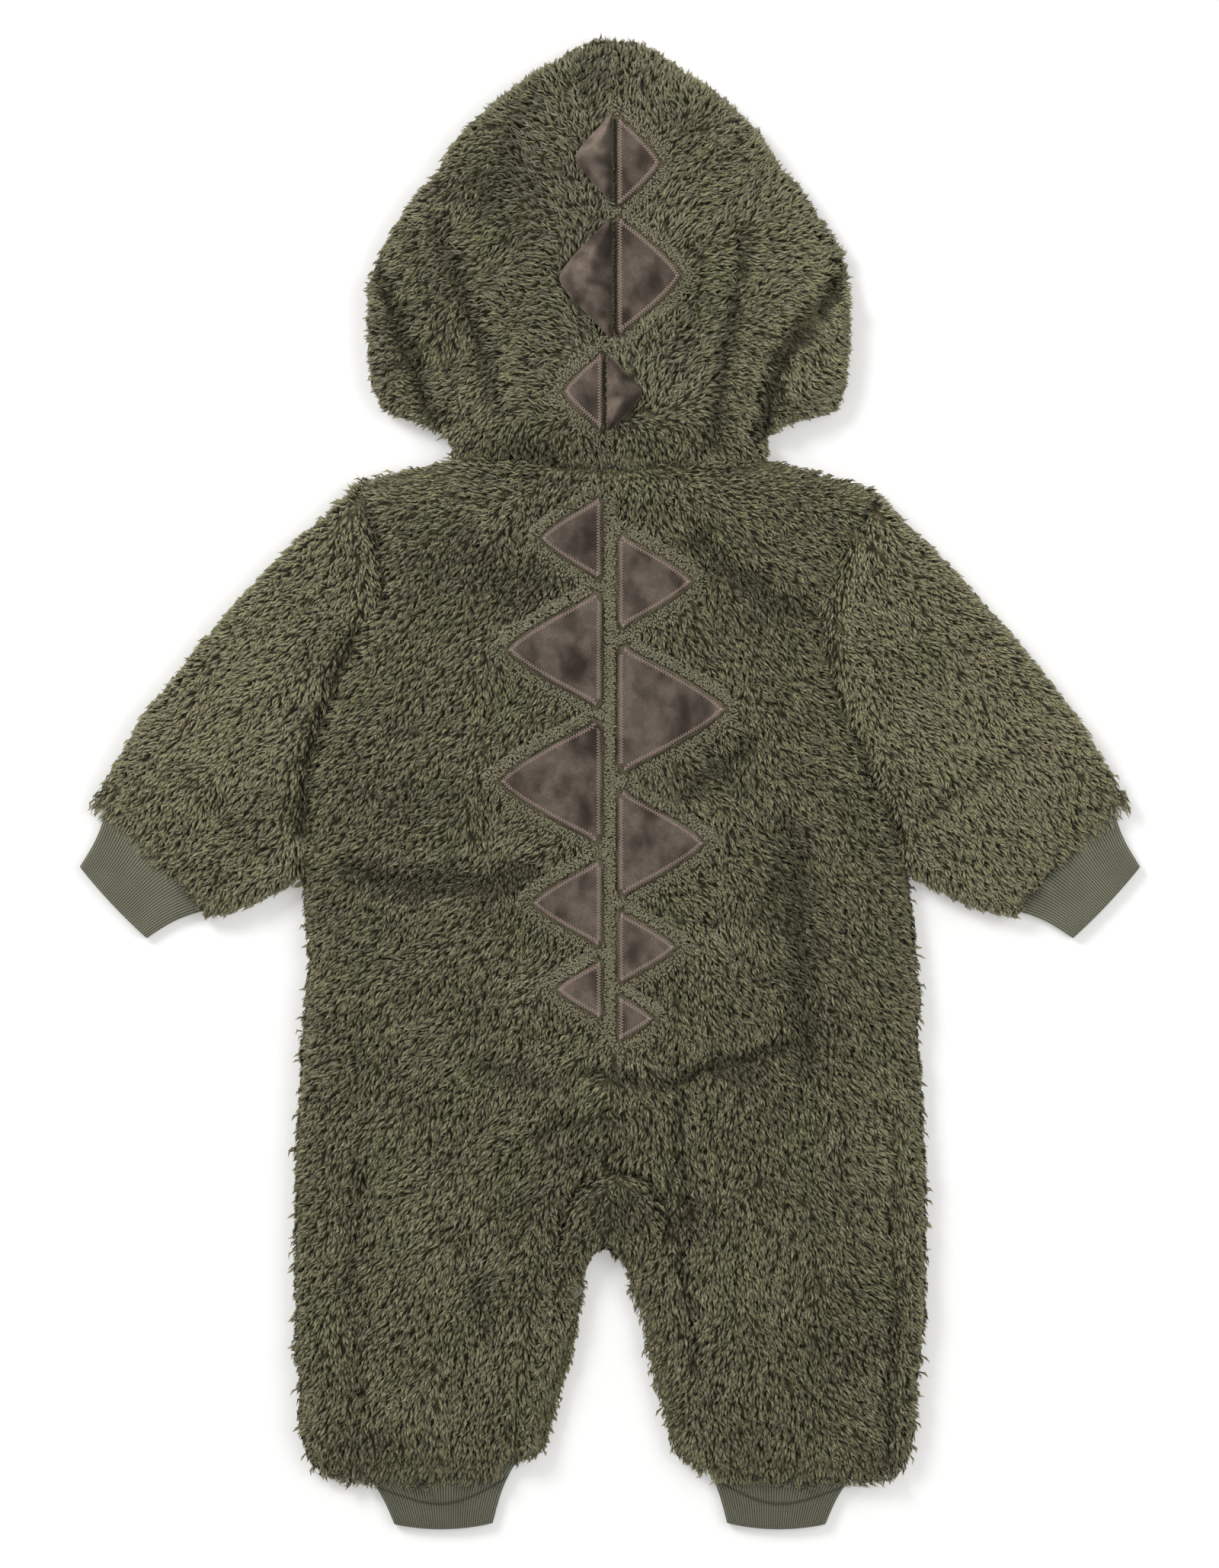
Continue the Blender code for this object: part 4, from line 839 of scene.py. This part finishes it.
# Painted shade darkens the grooves between the ribs
yarn_with_painted_groove_shade = blended(tree, ranged(tree, crest, 0.0, 1.0, 0.0, 1.0), (0.045, 0.046, 0.031), (0.228, 0.231, 0.164))
shade = sums(tree, "MULTIPLY", ranged(tree, loops, 0.0, 1.0, 0.88, 1.08),
             ranged(tree, knit_noise, 0.3, 0.7, 0.86, 1.14))
shade = sums(tree, "MULTIPLY", shade, ranged(tree, soft_noise, 0.35, 0.65, 0.94, 1.06))
# The alpha carries the painted shade of the ankle cuffs
shade = sums(tree, "MULTIPLY", shade, rib.outputs["Alpha"])
# On the ankle cuffs painted shade runs as a dark arc along the step over the inner layer's edge
off_middle = sums(tree, "SUBTRACT", across, 0.5)
arc_rise = sums(tree, "MULTIPLY", sums(tree, "MULTIPLY", off_middle, off_middle), ARC_BEND)
arc = sums(tree, "SUBTRACT", ARC_LOWEST, arc_rise)
beside_arc = sums(tree, "ABSOLUTE", sums(tree, "SUBTRACT", down, arc))
arc_shade = ranged(tree, beside_arc, 0.0, ARC_WIDTH, 0.50, 1.0)
on_ankle = ranged(tree, rib.outputs["Alpha"], 0.85, 0.95, 1.0, 0.0)
arc_shade = sums(tree, "ADD", sums(tree, "MULTIPLY", arc_shade, on_ankle),
                 sums(tree, "SUBTRACT", 1.0, on_ankle))
shade = sums(tree, "MULTIPLY", shade, arc_shade)
join(tree, blended(tree, 1.0, yarn_with_painted_groove_shade, shade, "MULTIPLY"), shader.inputs["Base Color"])
raised(tree, shader, sums(tree, "ADD", loops, knit_noise), 0.12 * MM)


def cuff_heights(share, depth, size, step):
    """Top and underside of the cuff, rounded at its sides and at its hem fold."""
    edge = np.minimum(share, 1 - share) * size
    fold = math.sqrt(max(0.0, 1 - max(0.0, (depth - 0.93) / 0.07) ** 2))
    lift = CUFF_LIFT * (1 - min(depth / 0.5, 1.0)) ** 2
    round_top = np.sqrt(np.clip(1 - (1 - np.clip(edge / (4 * MM), 0, 1)) ** 2, 0, 1)) * (0.45 + 0.55 * fold)
    low = CUFF_MIDDLE + CUFF_EDGE
    top = low + (CUFF_TOP + lift - low) * round_top
    if step:
        from_arc = (ARC_LOWEST - ARC_BEND * (share - 0.5) ** 2 - depth) / ARC_WIDTH
        top = top + 0.55 * MM * eased(from_arc + 0.5) - 0.35 * MM * np.exp(-from_arc ** 2)
    round_low = np.sqrt(np.clip(1 - (1 - np.clip(edge / (3 * MM), 0, 1)) ** 2, 0, 1)) * (0.45 + 0.55 * fold)
    under = CUFF_UNDER_Z + (CUFF_MIDDLE - CUFF_EDGE - CUFF_UNDER_Z) * (1 - round_low)
    return top, under, lift


def cuff_mesh(name, loops_of_points, shades):
    """Joins the cuff's four sheets, row by row down the cuff, into one closed mesh."""
    cuff = bmesh.new()
    layer = cuff.verts.layers.float_color.new("rib")
    grids = []
    for sheet in range(4):
        grid = []
        for row, points in enumerate(loops_of_points):
            line = []
            for point, shade in zip(points[sheet], shades[row]):
                vertex = cuff.verts.new(point)
                vertex[layer] = shade
                line.append(vertex)
            grid.append(line)
        grids.append(grid)
    over, slit_over, slit_below, below = grids
    last = len(over[0]) - 1
    for grid in grids:
        for low, high in zip(grid, grid[1:]):
            for k in range(len(low) - 1):
                cuff.faces.new((low[k], low[k + 1], high[k + 1], high[k]))
    for row in (0, -1):
        for k in range(last):
            for outer, inner in ((over, slit_over), (below, slit_below)):
                cuff.faces.new((outer[row][k], outer[row][k + 1], inner[row][k + 1], inner[row][k]))
        for end in (0, -1):
            cuff.faces.new((over[row][end], slit_over[row][end], slit_below[row][end], below[row][end]))
    for row in range(len(over) - 1):
        for end in (0, -1):
            for upper, lower in ((over, below), (slit_over, slit_below)):
                cuff.faces.new((upper[row][end], upper[row + 1][end], lower[row + 1][end], lower[row][end]))
    bmesh.ops.recalc_face_normals(cuff, faces=cuff.faces)
    mesh = bpy.data.meshes.new(name)
    cuff.to_mesh(mesh)
    cuff.free()
    return mesh


def rib_cuff(node, near, far, sag, step, painted_light_and_tone):
    """The tube: ribbed top and underside, and the slit between them, all as one grid."""
    near, far = np.array(near) * MM, np.array(far) * MM
    width = (np.hypot(*(near[1] - near[0])) + np.hypot(*(far[1] - far[0]))) / 2
    ribs = round(width / RIB_PITCH)
    share = np.linspace(0, 1, POINTS_A_RIB * ribs + 1)
    crest = np.abs(np.cos(math.pi * np.arange(len(share)) / POINTS_A_RIB)) ** 0.8
    ahead = far.sum(axis=0) - near.sum(axis=0)
    ahead = ahead / np.hypot(*ahead)
    depths = [0, 0.2, 0.36, 0.42, 0.47, 0.52, 0.57, 0.63, 0.78, 0.93, 0.97, 1.0]
    loops_of_points, shades = [], []
    for depth in depths:
        a, b = near[0] + (far[0] - near[0]) * depth, near[1] + (far[1] - near[1]) * depth
        # The sides curve in a little between the seam and the hem
        bow = 0.03 * math.sin(math.pi * depth)
        spread = bow + share * (1 - 2 * bow)
        hem_sag = ahead * (sag * MM * 4 * share * (1 - share) * depth ** 2)[:, None]
        flat = a + (b - a) * spread[:, None] + hem_sag
        top, under, lift = cuff_heights(share, depth, np.hypot(*(b - a)), step)
        fade = np.clip(np.minimum(share, 1 - share) * 40, 0.2, 1)
        rise = RIB_RISE * crest * fade
        inner = np.clip(share, 0.07, 0.93)
        inner_flat = a + (b - a) * inner[:, None] + hem_sag
        over = np.column_stack([flat, top + rise - 0.1 * MM])
        slit_over = np.column_stack([inner_flat, np.full(len(share), CUFF_MIDDLE + CUFF_SLIT + lift)])
        slit_below = np.column_stack([inner_flat, np.full(len(share), CUFF_MIDDLE - CUFF_SLIT)])
        below = np.column_stack([flat, under + (RIB_RISE * 0.6) * (1 - crest) * fade])
        loops_of_points.append((over, slit_over, slit_below, below))
        same = np.ones(len(share))
        shades.append(np.column_stack([crest, same * depth, share, same * painted_light_and_tone]))
    mesh = cuff_mesh(node + "_rib", loops_of_points, shades)
    piece = add_piece(node + "_rib", mesh, knit, "rib_knit", node)
    # What shows is half of the cut, which is folded double at the hem
    return piece


for side, word in ((-1, "left"), (1, "right")):
    cad_cuff = np.array([v.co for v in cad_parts["wrist_cuff_" + word].data.vertices]) / MM
    seam_top = cad_cuff[cad_cuff[:, 1].argmax()]
    seam_low = cad_cuff[np.abs(cad_cuff[:, 0]).argmin()]
    wrist_near = [seam_top[:2], seam_low[:2]]
    wrist_far = [(side * x, y - HEM_LEVEL) for x, y in WRIST_FAR]
    rib_cuff("wrist_cuff_" + word, wrist_near, wrist_far, WRIST_SAG, False, 1.0)
    ankle = [[(side * x, y - HEM_LEVEL) for x, y in line] for line in (ANKLE_NEAR, ANKLE_FAR)]
    rib_cuff("ankle_cuff_" + word, *ankle, ANKLE_SAG, True, ANKLE_PAINTED_SHADE)


# Velvet plates and patches
# The plates down the back and the patches on the hood are flat velvet shapes, laid on the
# combed fleece and sewn down all round with a close zigzag that draws their edges in.
STITCH_WIDTH = 2.5 * MM
STITCH_STEP = 0.72 * MM
THREAD = 0.42 * MM
EDGE_ROUNDING = 0.8 * MM

velvet, tree, shader = new_material("velvet", 0.75, sheen=0.8, sheen_roughness=0.35,
                                    sheen_tint=(0.75, 0.6, 0.5))
nap = speckle(tree, 62.0, detail=2.5, stretch=(1.0, 0.6, 1.0), turn=0.5)
nap = ranged(tree, nap, 0.32, 0.60, 0.0, 1.0)
crushed = ranged(tree, speckle(tree, 170.0, detail=2.0), 0.35, 0.65, 0.0, 1.0)
fine = speckle(tree, 1800.0, detail=2.0)
colour = blended(tree, nap, (0.034, 0.024, 0.018), (0.128, 0.100, 0.080))
shade = sums(tree, "MULTIPLY", ranged(tree, crushed, 0.0, 1.0, 0.85, 1.12),
             ranged(tree, fine, 0.3, 0.7, 0.82, 1.18))
# Painted light and shade on the fins, by their slope and in their puckers
lean = add_node(tree, "ShaderNodeAttribute", attribute_name="fin_painted_light_and_shade")
shade = sums(tree, "MULTIPLY", shade, ranged(tree, lean.outputs["Fac"], -1.0, 1.0, 0.30, 1.66))
join(tree, blended(tree, 1.0, colour, shade, "MULTIPLY"), shader.inputs["Base Color"])
raised(tree, shader, sums(tree, "ADD", sums(tree, "MULTIPLY", crushed, 0.5), fine), 0.25 * MM)

thread, tree, shader = new_material("zigzag_thread", 0.5, sheen=0.2)
twist = speckle(tree, 2500.0, detail=1.0)
join(tree, blended(tree, ranged(tree, twist, 0.3, 0.7, 0.0, 1.0), (0.26, 0.19, 0.15), (0.44, 0.34, 0.28)),
     shader.inputs["Base Color"])


def velvet_plate(node):
    """The CAD plate with a rounded edge, closely divided."""
    plate = merged_copy(node)
    bmesh.ops.dissolve_limit(plate, angle_limit=math.radians(1.0), verts=plate.verts, edges=plate.edges)
    rim = [e for e in plate.edges if len(e.link_faces) == 2 and e.calc_face_angle() > math.radians(40)
           and max(f.normal.z for f in e.link_faces) > 0.5]
    bmesh.ops.bevel(plate, geom=rim, offset=EDGE_ROUNDING * 0.9, affect="EDGES", segments=4, profile=0.5,
                    material=-1, clamp_overlap=True)
    bmesh.ops.triangulate(plate, faces=plate.faces)
    mesh = bpy.data.meshes.new(node + "_velvet")
    plate.to_mesh(mesh)
    plate.free()
    return mesh


def along_outline(outline, step):
    """Points at an even step round a closed outline, with the direction inwards."""
    closed = np.vstack([outline, outline[:1]])
    lengths = np.hypot(*np.diff(closed, axis=0).T)
    total = lengths.sum()
    count = 2 * round(total / step / 2)
    at = np.linspace(0, total, count, endpoint=False)
    sums_of = np.concatenate([[0], np.cumsum(lengths)])
    points = np.column_stack([np.interp(at, sums_of, closed[:, k]) for k in (0, 1)])
    ahead = np.roll(points, -2, axis=0) - np.roll(points, 2, axis=0)
    ahead = ahead / np.hypot(*ahead.T)[:, None]
    inwards = np.column_stack([-ahead[:, 1], ahead[:, 0]])
    middle = outline.mean(axis=0)
    if ((middle - points) * inwards).sum() < 0:
        inwards = -inwards
    return points, inwards


def thread_mesh(name, starts, ends, heights):
    """Short threads with four sides, sagging into the cloth at both ends."""
    ahead = ends - starts
    ahead = ahead / np.hypot(*ahead.T)[:, None]
    side = np.column_stack([-ahead[:, 1], ahead[:, 0]])
    stations = ((0.0, 0.35, -0.3), (0.5, 0.55, 0.25), (1.0, 0.35, -0.3))
    rings = []
    for share, half, rise in stations:
        flat = starts + (ends - starts) * share
        level = heights[:, 0] + (heights[:, 1] - heights[:, 0]) * share + rise * THREAD
        for across, up in ((-1, 0), (0, -1), (1, 0), (0, 1)):
            rings.append(np.column_stack([flat + side * across * half * THREAD, level + up * half * THREAD]))
    faces = []
    for k in range(len(stations) - 1):
        for j in range(4):
            a, b = 4 * k + j, 4 * k + (j + 1) % 4
            faces.append((a, b, b + 4, a + 4))
    top = 4 * (len(stations) - 1)
    faces += [(3, 2, 1, 0), (top, top + 1, top + 2, top + 3)]
    return joined_mesh(name, np.stack(rings, axis=1), faces)


def zigzag(name, node, plate_mesh):
    """The zigzag round one plate, laid on its velvet."""
    surface = bmesh.new()
    surface.from_mesh(plate_mesh)
    ground = BVHTree.FromBMesh(surface)
    surface.free()
    points, inwards = along_outline(outlines[node], STITCH_STEP)
    outer = points + inwards * 0.25 * MM
    inner = points + inwards * STITCH_WIDTH
    ends = np.where((np.arange(len(points)) % 2 == 0)[:, None], outer, inner)
    starts, stops = ends, np.roll(ends, -1, axis=0)

    def height(spot):
        hit = ground.ray_cast(Vector((*spot, 0.1)), Vector((0, 0, -1)))
        return hit[0].z if hit[0] else math.nan

    levels = np.array([[height(a), height(b)] for a, b in zip(starts, stops)])
    whole = ~np.isnan(levels).any(axis=1)
    mesh = thread_mesh(name, starts[whole], stops[whole], levels[whole] + THREAD * 0.3)
    bm = bmesh.new()
    bm.from_mesh(mesh)
    bmesh.ops.recalc_face_normals(bm, faces=bm.faces)
    bm.to_mesh(mesh)
    bm.free()
    return add_piece(name, mesh, thread, "velvet")


for node in PLATES:
    plate_mesh = velvet_plate(node)
    plate = add_piece(node + "_velvet", plate_mesh, velvet, "velvet", node)
    stitching = zigzag(node + "_stitching", node, plate_mesh)


# Padded fins
# Three small velvet shapes, sewn double, turned and filled, are caught in the hood's
# centre seam and lie over to one side, plump in the middle with puckered edges.
FIN_VOXEL = 1.3 * MM
FIN_START = 0.98  # size before it is filled, as a share of its own
FIN_SMOOTHINGS = 14
FIN_PRESSURE = 4.0
FIN_STEPS = 20
FIN_SWELL = 1.6 * MM
PAINTED_LIGHT_WAY = (-0.7, 0.6, 0.15)  # slopes facing this way get painted light, the others painted shade
# Place up the fin, from 0 to 1, angle of the pucker's outer end, and its depth in mm
FIN_PUCKERS = ((0.30, 2.9, 3.0), (0.68, 3.5, 3.4), (0.47, -0.3, 1.6), (0.86, 1.9, 2.0))


def settle(piece):
    """Applies the piece's modifiers to its mesh."""
    graph = bpy.context.evaluated_depsgraph_get()
    done = bpy.data.meshes.new_from_object(piece.evaluated_get(graph), depsgraph=graph)
    old = piece.data
    piece.modifiers.clear()
    piece.data = done
    bpy.data.meshes.remove(old)


def fill(pad):
    """Blows the pad up as its filling does, as far as FIN_SWELL."""
    start = np.array([v.co for v in pad.data.vertices])
    cloth = pad.modifiers.new("cloth", "CLOTH")
    cloth.settings.use_pressure = True
    cloth.settings.uniform_pressure_force = FIN_PRESSURE
    cloth.settings.effector_weights.gravity = 0.0
    for step in range(1, FIN_STEPS + 1):
        bpy.context.scene.frame_set(step)
    settle(pad)
    move = np.array([v.co for v in pad.data.vertices]) - start
    far = np.linalg.norm(move, axis=1)[:, None]
    end = start + move * np.minimum(1.0, FIN_SWELL / np.maximum(far, 1e-9))
    pad.data.vertices.foreach_set("co", end.astype(np.float32).ravel())
    bpy.context.scene.frame_set(1)


def pucker(pad, node):
    """Flattens the pad towards its edge, gathers it there, and gives how far it is gathered."""
    low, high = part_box(node)
    centre = (low + high) / 2
    points = np.array([v.co for v in pad.data.vertices])
    away, _ = distance_outside(points[:, :2], outlines[node])
    near_edge = np.exp(-((away + 1.0 * MM) / (3.0 * MM)) ** 2)
    crinkle = 0.25 * waves(*points[:, :2].T, 6 * MM, 78) + 0.75 * waves(*points[:, :2].T, 15 * MM, 77)
    inside = np.clip(-away / (11 * MM), 0, 1)
    points[:, 2] = low.z + (points[:, 2] - points[:, 2].min()) * (0.2 + 0.8 * np.sqrt(1 - (1 - inside) ** 2))
    thick = high.z - low.z
    height = (points[:, 2] - low.z) / thick
    points[:, 2] += (crinkle * (0.5 + 0.6 * near_edge) - 0.5) * MM * height
    # Puckers run in from the sewn edge, where the turned velvet gathers
    gathered = np.zeros(len(points))
    for at, angle, depth in FIN_PUCKERS:
        angle = math.pi - angle if node == "hood_fin_3" else angle
        run = Vector((math.cos(angle), math.sin(angle)))
        spots = points[:, :2] - np.array([centre.x, low.y + (high.y - low.y) * at])
        along = spots @ np.array(run)
        across = spots @ np.array((-run.y, run.x))
        trough = np.exp(-(across / (2.4 * MM)) ** 2) * eased((along + 2 * MM) / (6 * MM))
        points[:, 2] -= depth * MM * trough * height
        gathered = np.maximum(gathered, trough * depth / FIN_PUCKERS[1][2])
    points[:, 2] = low.z + (points[:, 2] - points[:, 2].min()) * thick / np.ptp(points[:, 2])
    pad.data.vertices.foreach_set("co", points.astype(np.float32).ravel())
    return gathered


def padded_fin(node):
    """The CAD fin blown up as a little cushion, then puckered along its edges."""
    copy = merged_copy(node)
    low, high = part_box(node)
    centre = (low + high) / 2
    for vertex in copy.verts:
        vertex.co = centre + (vertex.co - centre) * FIN_START
    mesh = bpy.data.meshes.new(node + "_pad")
    copy.to_mesh(mesh)
    copy.free()
    pad = add_piece(node + "_pad", mesh, velvet, "velvet", node)
    remesh = pad.modifiers.new("remesh", "REMESH")
    remesh.mode = "VOXEL"
    remesh.voxel_size = FIN_VOXEL
    settle(pad)
    rounded = bmesh.new()
    rounded.from_mesh(pad.data)
    for _ in range(FIN_SMOOTHINGS):
        bmesh.ops.smooth_vert(rounded, verts=rounded.verts, factor=0.5,
                              use_axis_x=True, use_axis_y=True, use_axis_z=True)
    rounded.to_mesh(pad.data)
    rounded.free()
    fill(pad)
    gathered = pucker(pad, node)
    # Painted shade in the puckers
    layer = pad.data.attributes.new("fin_painted_light_and_shade", "FLOAT", "POINT")
    layer.data.foreach_set("value", (-0.9 * gathered).astype(np.float32))
    smooth = pad.modifiers.new("smooth", "SUBSURF")
    smooth.levels = smooth.render_levels = 1
    settle(pad)
    # Painted light where the velvet slopes one way and painted shade where it slopes the other
    lean = pad.data.attributes["fin_painted_light_and_shade"]
    slopes = np.array([v.normal for v in pad.data.vertices]) @ PAINTED_LIGHT_WAY
    before = np.zeros(len(slopes), np.float32)
    lean.data.foreach_get("value", before)
    lean.data.foreach_set("value", np.clip(before + 1.2 * slopes, -1, 1).astype(np.float32))
    pad.data.shade_smooth()


for node in FINS:
    padded_fin(node)


# Press studs
# The front and the left inseam close with small plastic press studs. Each is a low disc
# with a rolled rim and a round socket, riveted through the band.
stud_plastic, tree, shader = new_material("stud_plastic", 0.4)
scuffs = speckle(tree, 900.0, detail=3.0)
join(tree, blended(tree, scuffs, (0.24, 0.27, 0.20), (0.29, 0.32, 0.24)), shader.inputs["Base Color"])
join(tree, ranged(tree, scuffs, 0.3, 0.7, 0.32, 0.48), shader.inputs["Roughness"])
STUDS = [f"front_stud_{k}" for k in range(1, 8)] + [f"inseam_stud_{k}" for k in (1, 2, 3)]
# Radius and height of the turned section, as shares of the disc's own
STUD_SECTION = (
    (0.0, 0.45), (0.30, 0.45), (0.36, 0.62), (0.46, 0.66), (0.52, 0.50), (0.74, 0.46), (0.84, 0.80),
    (0.93, 0.98), (1.0, 0.84), (1.0, 0.42), (0.92, 0.12), (0.75, 0.0), (0.0, 0.0),
)


def press_stud(node):
    low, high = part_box(node)
    centre, size = (low + high) / 2, high - low
    radius = max(size.x, size.y) / 2
    stud = bmesh.new()
    line = [stud.verts.new((centre.x + radius * r, centre.y, low.z + size.z * z)) for r, z in STUD_SECTION]
    edges = [stud.edges.new(pair) for pair in zip(line, line[1:])]
    bmesh.ops.spin(stud, geom=line + edges, cent=centre, axis=(0, 0, 1), angle=2 * math.pi,
                   steps=32, use_merge=True)
    bmesh.ops.remove_doubles(stud, verts=stud.verts, dist=0.001 * MM)
    bmesh.ops.recalc_face_normals(stud, faces=stud.faces)
    mesh = bpy.data.meshes.new(node + "_disc")
    stud.to_mesh(mesh)
    stud.free()
    add_piece(node + "_disc", mesh, stud_plastic, "stud_plastic", node)


for node in STUDS:
    press_stud(node)
